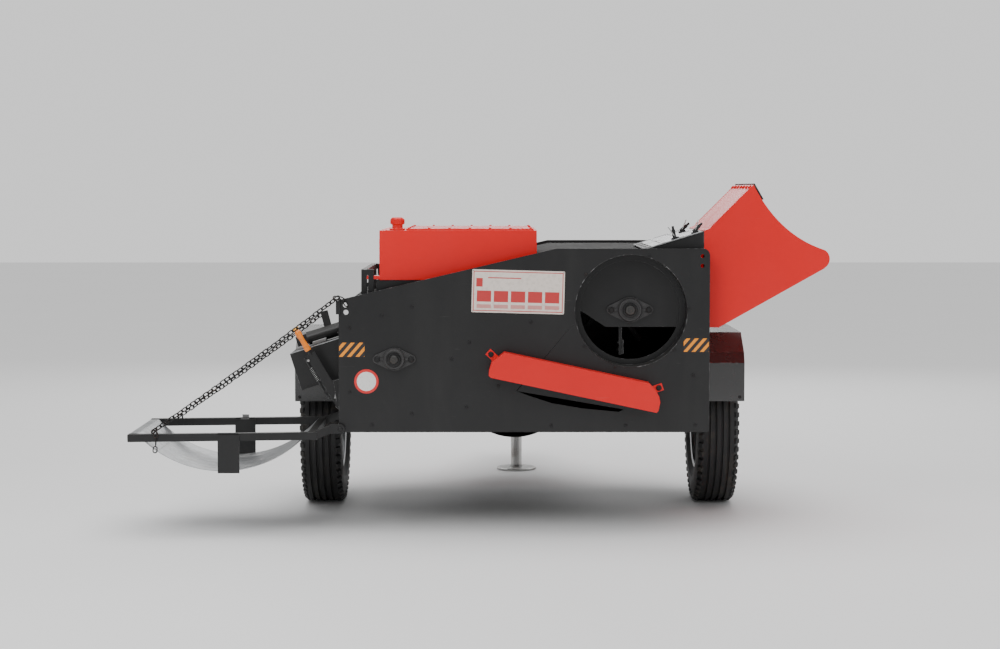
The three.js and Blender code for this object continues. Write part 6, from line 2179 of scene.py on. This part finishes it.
@dataclass
class Drawbar:
    """The A-frame drawbar, its hitch eye, the cross members and the parking jack."""

    shop: Workshop
    hitch_y: float = 1630.0
    hitch_radius: float = 50.0
    hitch_bore: float = 25.0
    jack_y: float = 1010.0
    tube: float = 35.0
    leg: float = 27.0

    def build(self) -> None:
        """Makes and dresses the drawbar."""
        for node in ("drawbar_left", "drawbar_right", "front_crossmember"):
            self.shop.softened(f"{node}_steel", node, BLACK_FRAME, bevel=4.0)
        self.tongue()
        self.jack()
        self.welds()

    def tongue(self) -> None:
        """The tongue and its forged eye, rounded where the pin bears."""
        low, high = self.shop.datum.box("drawbar_tongue")
        middle = self.shop.datum.middle("drawbar_tongue").z
        beam = self.shop.stock()
        body_end = self.hitch_y - self.hitch_radius - 20
        beam.block((low.x + 10, low.y, low.z), (high.x - 10, body_end, high.z))
        beam.block((low.x + 10, body_end - 30, low.z), (high.x - 10, body_end, high.z))
        beam.block((-28, body_end - 1, middle - 16), (28, self.hitch_y - 40, middle + 16))
        dress(beam.finish("drawbar_tongue_steel", 3.0), BLACK_FRAME, "root", "drawbar_tongue")
        eye = self.shop.stock()
        outer, bore = self.hitch_radius, self.hitch_bore
        section = [
            (bore, 7), (bore + 1.2, 12), (bore + 5, 15.4), (outer - 7, 16), (outer - 1.6, 13), (outer, 6),
            (outer, -6), (outer - 1.6, -13), (outer - 7, -16), (bore + 5, -15.4), (bore + 1.2, -12),
            (bore, -7),
        ]
        eye.turned(section, (0, self.hitch_y, middle), UP, 88)
        dress(eye.finish("hitch_eye_ring", 0.0), SHAFT_STEEL)
        spots = [((side * (high.x - 10), y, middle + dz), (side, 0, 0))
                 for side in (-1, 1) for y in (body_end - 40, body_end - 110) for dz in (-16, 16)]
        self.shop.screws("tongue_screws", spots, PLATED, size=12)

    def jack(self) -> None:
        """The jack's tube with its gear head, crank and leg with a dished foot."""
        low, _ = self.shop.datum.box("jack_tube")
        _, leg_high = self.shop.datum.box("jack_leg")
        top, bottom = 560.0, low.z
        centre = (0.0, self.jack_y)
        tube = self.shop.stock()
        outer = self.tube
        section = [
            (28.4, bottom), (outer, bottom), (outer, top - 70), (outer + 4, top - 66), (outer + 4, top - 14),
            (outer + 2, top - 8), (outer - 6, top - 1), (0, top), (0, top - 18), (28.4, top - 20),
        ]
        tube.turned([(0, top - 18), (28.4, top - 20), *section[:-2]], (*centre, 0.0), UP, 72)
        reach = -low.x
        lying = Matrix.Rotation(math.pi / 2, 4, "X")
        near, far = -self.jack_y - 60, -self.jack_y + 60
        deck = [(low.x, near), (reach, near), (reach, far), (low.x, far)]
        tube.sheet(deck, [ring((0.0, -self.jack_y), outer - 2, 48)], (400.3, 410), lying)
        crank = top - 40
        tube.rod((outer - 6, self.jack_y, crank), (outer + 60, self.jack_y, crank), 8.6, 32, 1.2)
        tube.rod((outer + 2, self.jack_y, crank), (outer + 14, self.jack_y, crank), 15, 32, 2)
        dress(tube.finish("jack_outer_tube", 1.6), BLACK_FRAME, "root", "jack_tube")
        handle = self.shop.stock()
        arm_x = outer + 53
        handle.block((arm_x - 4, self.jack_y - 9, crank - 10), (arm_x + 4, self.jack_y + 9, crank + 110))
        handle.rod((arm_x - 8, self.jack_y, crank), (arm_x + 8, self.jack_y, crank), 12, 28, 1.4)
        dress(handle.finish("jack_crank", 2.0), PLATED)
        knob = self.shop.stock()
        profile = [
            (0, 0), (8.6, 0.4), (9.6, 3), (8.2, 14), (8.0, 34), (9.4, 56), (9.8, 66), (8.4, 71), (4, 73),
            (0, 73.4)
        ]
        knob.turned(profile, (arm_x + 4.4, self.jack_y, crank + 98), (1, 0, 0), 40)
        dress(knob.finish("jack_crank_grip", 0.0), FLAP)
        leg = self.shop.stock()
        foot = [
            (0, 0), (93, 0), (96.4, 2.2), (97, 6), (96, 9.6), (92, 11.6), (84, 10.6), (44, 9.4), (34, 12),
            (30, 19), (self.leg, 26), (self.leg, leg_high.z - 3), (self.leg - 3, leg_high.z), (0, leg_high.z),
        ]
        leg.turned(foot, (*centre, 0.0), UP, 96)
        dress(leg.finish("jack_inner_leg", 0.0), PLATED, "jack", "jack_leg")

    def welds(self) -> None:
        """Beads where the jack's deck lies on the legs, and round the tongue."""
        weld_reach, deck_top = 36.5, 411
        loop = [(*around((0, self.jack_y), weld_reach, a), deck_top) for a in range(0, 361, 8)]
        edge = [(x, 1249, 398) for x in range(-38, 39, 4)]
        self.shop.welds("drawbar_beads", [loop, edge], BLACK_FRAME, radius=3.2)


# ------------------------------------------------------------------------------------------------
# Drive
# ------------------------------------------------------------------------------------------------


@dataclass
class Drive:
    """The rotor, the sieve shaft, the red guard over the belts, the gearbox and its stub."""

    shop: Workshop
    cover_reach: float = 69.0
    arm_sets: int = 5
    arm_reach: float = 188.0
    tube: float = 45.0
    shaft: float = 20.0
    pulley: float = 165.0

    def build(self) -> None:
        """Makes and dresses the drive."""
        self.rotor()
        self.sieve_shaft()
        self.guard()
        self.gearbox()

    def rotor(self) -> None:
        """The rotor: a tube with arms that carry worn beater blades, and its grooved pulley."""
        datum = self.shop.datum
        low, high = datum.box("rotor")
        axis_x, axis_z = 440.0, 898.0
        _, carrier = datum.box("carrier_plate")
        seat = carrier.y - 5
        front = datum.box("front_plate")[1].y
        start, end = seat + 40, front - 60
        spindle = self.shop.stock()
        r = self.shaft
        tip = [(0, 0), (6, 0), (6.4, 3), (r - 2, 3), (r, 5), (r, end + 30 - low.y), (0, end + 30 - low.y)]
        spindle.turned(tip, (axis_x, low.y, axis_z), FORWARD, 56)
        spindle.rod((axis_x, end, axis_z), (axis_x, high.y, axis_z), r, 56, 2)
        dress(spindle.finish("rotor_spindle", 0.0), DARK_SHAFT, "rotor", "rotor")
        drum = self.shop.stock()
        drum.rod((axis_x, start, axis_z), (axis_x, end, axis_z), self.tube, 72, 1.5)
        pitch = (end - start - 80) / (self.arm_sets - 1)
        spots = []
        for i in range(self.arm_sets):
            y = start + 20 + i * pitch
            turn = Matrix.Translation((axis_x, 0, axis_z)) @ Matrix.Rotation(math.radians(72 * i), 4, "Y")
            for side in (-1, 1):
                flip = turn @ (Matrix.Rotation(math.pi, 4, "Y") if side > 0 else Matrix.Identity(4))
                drum.block((-40, y, -self.arm_reach), (-28, y + 40, 0), flip)
                drum.block((-28.2, y - 8, -self.arm_reach + 4), (-21, y + 48, -self.arm_reach + 62), flip)
                for z in (-self.arm_reach + 20, -self.arm_reach + 46):
                    spots.append((flip @ Vector((-40, y + 20, z)), flip.to_3x3() @ Vector((-1, 0, 0))))
        pulley_y = front + 20
        groove = [(r, 0), (self.pulley - 4, 0), (self.pulley, 2)]
        for i in range(3):
            y = 4 + 15 * i
            groove += [
                (self.pulley, y), (self.pulley - 11, y + 4), (self.pulley - 11, y + 9), (self.pulley, y + 13)
            ]
        groove += [(self.pulley, 48), (self.pulley - 4, 50), (r, 50)]
        drum.turned(groove, (axis_x, pulley_y, axis_z), FORWARD, 120)
        dress(drum.finish("rotor_drum_and_pulley", 1.2), BLACK_FRAME, "rotor")
        self.shop.screws("rotor_blade_screws", spots, BLACK_FIXING, "rotor", 9)

    def sieve_shaft(self) -> None:
        """The sieve's shaft with its keyed ends and drive wheel."""
        low, high = self.shop.datum.box("sieve_shaft")
        middle = self.shop.datum.middle("sieve_shaft")
        front = self.shop.datum.box("front_plate")[1].y
        shaft = self.shop.stock()
        tip = [
            (0, 0), (5, 0), (5.4, 2.6), (15, 2.6), (17, 4.6), (17, high.y - low.y - 2), (15, high.y - low.y)
        ]
        shaft.turned([*tip, (0, high.y - low.y)], (middle.x, low.y, middle.z), FORWARD, 48)
        web = [
            (17, 20), (34, 20), (35, 26), (76, 27), (80, 20), (88, 20), (90, 22), (86, 35), (90, 48),
            (88, 50), (80, 50), (76, 36), (35, 37), (34, 50), (17, 50),
        ]
        shaft.turned(web, (middle.x, front, middle.z), FORWARD, 96)
        dress(shaft.finish("sieve_drive_shaft", 0.0), DARK_SHAFT, "sieve", "sieve_shaft")

    def guard(self) -> None:
        """The guard over the belts with its louvres, screws and a rolled edge."""
        self.shop.softened("belt_guard", "drive_guard", RED_SATIN, bevel=4.0)
        _, high = self.shop.datum.box("drive_guard")
        spots, facing, across = [], [], []
        for i in range(9):
            for j in range(2):
                spots.append(
                    (360 + 40 * (i % 5) - (20 if i > 4 else 0), high.y + 1.5, 800 + 150 * j + 30 * (i // 5))
                )
                facing.append(FORWARD)
                across.append(Vector((0, 0, 1)))
        holder = self.shop.points("guard_louvres", spots, facing=facing, across=across)
        sizes = {"Length": 74 * MM, "Width": 15 * MM, "Height": 7 * MM, "Taper": 0.55}
        dress(self.shop.blocks.run(holder, RED_SATIN, sizes), RED_SATIN)
        rim = [
            (440, 898, 193, (0, 60, 120, 300)), (-510, 705, 118, (110, 180, 250)), (0, 650, 128, (240, 300))
        ]
        screws = [
            ((x, high.y, z), FORWARD)
            for middle_x, middle_z, reach, angles in rim
            for x, z in (around((middle_x, middle_z), reach, a) for a in angles)
        ]
        self.shop.screws("guard_screws", screws, PLATED, size=7)

    def gearbox(self) -> None:
        """The gearbox: a ribbed casting with its cover, plugs and the splined stub."""
        self.shop.softened("gearbox_case", "gearbox", CAST_BLACK, bevel=5.0)
        self.shop.softened("gearbox_stand_steel", "gearbox_stand", BLACK_FRAME, bevel=2.0)
        low, high = self.shop.datum.box("gearbox")
        middle = self.shop.datum.middle("gearbox")
        case_end = 800.6
        trim = self.shop.stock()
        for y in (low.y + 40, low.y + 92, low.y + 144):
            for side in (-1, 1):
                x = side * (high.x + 3)
                trim.block(
                    (min(x, side * high.x * 0.9), y, low.z + 30),
                    (max(x, side * high.x * 0.9), y + 9, high.z - 30)
                )
        trim.turned(
            [(60, 0), (76, 0), (78, 3), (76, 9), (60, 10)], (0, case_end - 0.5, middle.z), FORWARD, 72
        )
        trim.rod((0, middle.y, high.z - 1), (0, middle.y, high.z + 11), 13, 32, 2)
        trim.rod((high.x - 30, middle.y, high.z - 30), (high.x + 2, middle.y, high.z - 30), 9, 6, 1)
        dress(trim.finish("gearbox_ribs", 1.6), CAST_BLACK)
        spots = [
            ((x, case_end + 9.4, z), FORWARD)
            for x, z in (around((0, middle.z), self.cover_reach, a) for a in range(0, 360, 45))
        ]
        self.shop.screws("gearbox_cover_screws", spots, PLATED, size=7)
        self.stub()

    def stub(self) -> None:
        """The splined power take-off stub, with six teeth and a locking groove."""
        low, high = self.shop.datum.box("pto_shaft")
        middle = self.shop.datum.middle("pto_shaft")
        stub = self.shop.stock()
        plain = high.y - 76
        stub.rod((middle.x, low.y, middle.z), (middle.x, plain, middle.z), 17.5, 56, 1)
        for start, end in ((plain - 1, high.y - 40), (high.y - 33, high.y)):
            outline = []
            for tooth in range(6):
                for turn, radius in ((2, 14.2), (14, 14.2), (19, 17.4), (41, 17.4), (46, 14.2), (58, 14.2)):
                    angle = math.radians(60 * tooth + turn)
                    outline.append((middle.x + radius * math.cos(angle), middle.z + radius * math.sin(angle)))
            stub.sheet(outline, [], (start, end))
        stub.rod((middle.x, high.y - 41, middle.z), (middle.x, high.y - 32, middle.z), 13.6, 48)
        dress(stub.finish("splined_stub", 0.9), SHAFT_STEEL, "pto", "pto_shaft")


# ------------------------------------------------------------------------------------------------
# Stickers and plates
# ------------------------------------------------------------------------------------------------


@dataclass
class Signs:
    """The blank plates on the rear plate: two striped stickers, the roundel and the name plate."""

    shop: Workshop
    film: float = 0.5

    def build(self) -> None:
        """Makes and dresses the signs."""
        datum = self.shop.datum
        self.face = datum.box("body_shell")[0].y - 6.3
        for name, low_x, high_x, low_z, high_z in (
            ("left", -731, -629, 714, 771), ("right", 651, 752, 734, 788)
        ):
            corner = tuple(datum.row((low_x, self.face, low_z)))
            finish = Hazard(f"hazard_stripes_{name}", Slot.BLACK, corner)
            outline = self.rounded(low_x, high_x, low_z, high_z, 2.5)
            self.sign(f"hazard_sticker_{name}", outline, finish, self.film)
        centre = (-622.0, 615.0)
        middle = tuple(datum.row((centre[0], self.face, centre[1])))
        middle = (middle[0], datum.row((0, self.face - self.film, 0)).y, middle[2])
        roundel = Roundel("blank_roundel", Slot.RED, middle, 0.0385, 0.0496)
        self.sign("speed_roundel", ring(centre, 49.0, 96), roundel, self.film)
        self.name_plate()

    @staticmethod
    def rounded(low_x: float, high_x: float, low_z: float, high_z: float, radius: float) -> Outline:
        """Returns a rectangle with rounded corners."""
        corners = ((high_x, low_z, -90), (high_x, high_z, 0), (low_x, high_z, 90), (low_x, low_z, 180))
        outline: Outline = []
        for x, z, start in corners:
            centre = (
                x - math.copysign(radius, x - (low_x + high_x) / 2),
                z - math.copysign(radius, z - (low_z + high_z) / 2)
            )
            outline += arc(centre, radius, start, start + 90, 6)
        return outline

    def sign(
        self, name: str, outline: Outline, finish: Finish, thickness: float, turn: Optional[Matrix] = None
    ) -> None:
        """Makes one thin sign on the rear plate.

        Args:
            name: The piece's name.
            outline: Its edge.
            finish: Its print.
            thickness: How thick it is.
            turn: A matrix for the sign.
        """
        film = self.shop.stock()
        film.sheet(outline, [], (self.face - thickness, self.face + 0.1), turn)
        dress(film.finish(name, 0.2), finish)

    def name_plate(self) -> None:
        """The blank name plate, a little askew, held by four rivets."""
        centre = Vector((-13.0, self.face, 975.0))
        width, height, askew = 371.0, 172.0, math.radians(1.5)
        place = Matrix.Translation(centre) @ Matrix.Rotation(askew, 4, "Y")
        outline = self.rounded(-width / 2, width / 2, -height / 2, height / 2, 4)
        middle = tuple(self.shop.datum.row(centre))
        finish = NamePlate("blank_name_plate", Slot.RED, middle, width * MM, height * MM, askew)
        film = self.shop.stock()
        film.sheet(outline, [], (-0.9, 0.1), place)
        dress(film.finish("name_plate", 0.3), finish)
        corners = [(sx * (width / 2 - 5), -0.9, sz * (height / 2 - 5)) for sx in (-1, 1) for sz in (-1, 1)]
        spots = [(place @ Vector(corner), REARWARD) for corner in corners]
        self.shop.screws("name_plate_rivets", spots, PLATED, size=2.2)


def main() -> None:
    """Builds the machine round its frame and sets the studio up."""
    logging.basicConfig(level=logging.INFO, format="%(name)s: %(message)s")
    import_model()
    shop = Workshop()
    Studio(shop).build()
    for assembly in (Body, FeedSide, Roof, LeftSide, Cradle, RunningGear, Drawbar, Drive, Signs):
        assembly(shop).build()


if __name__ == "__main__":
    main()
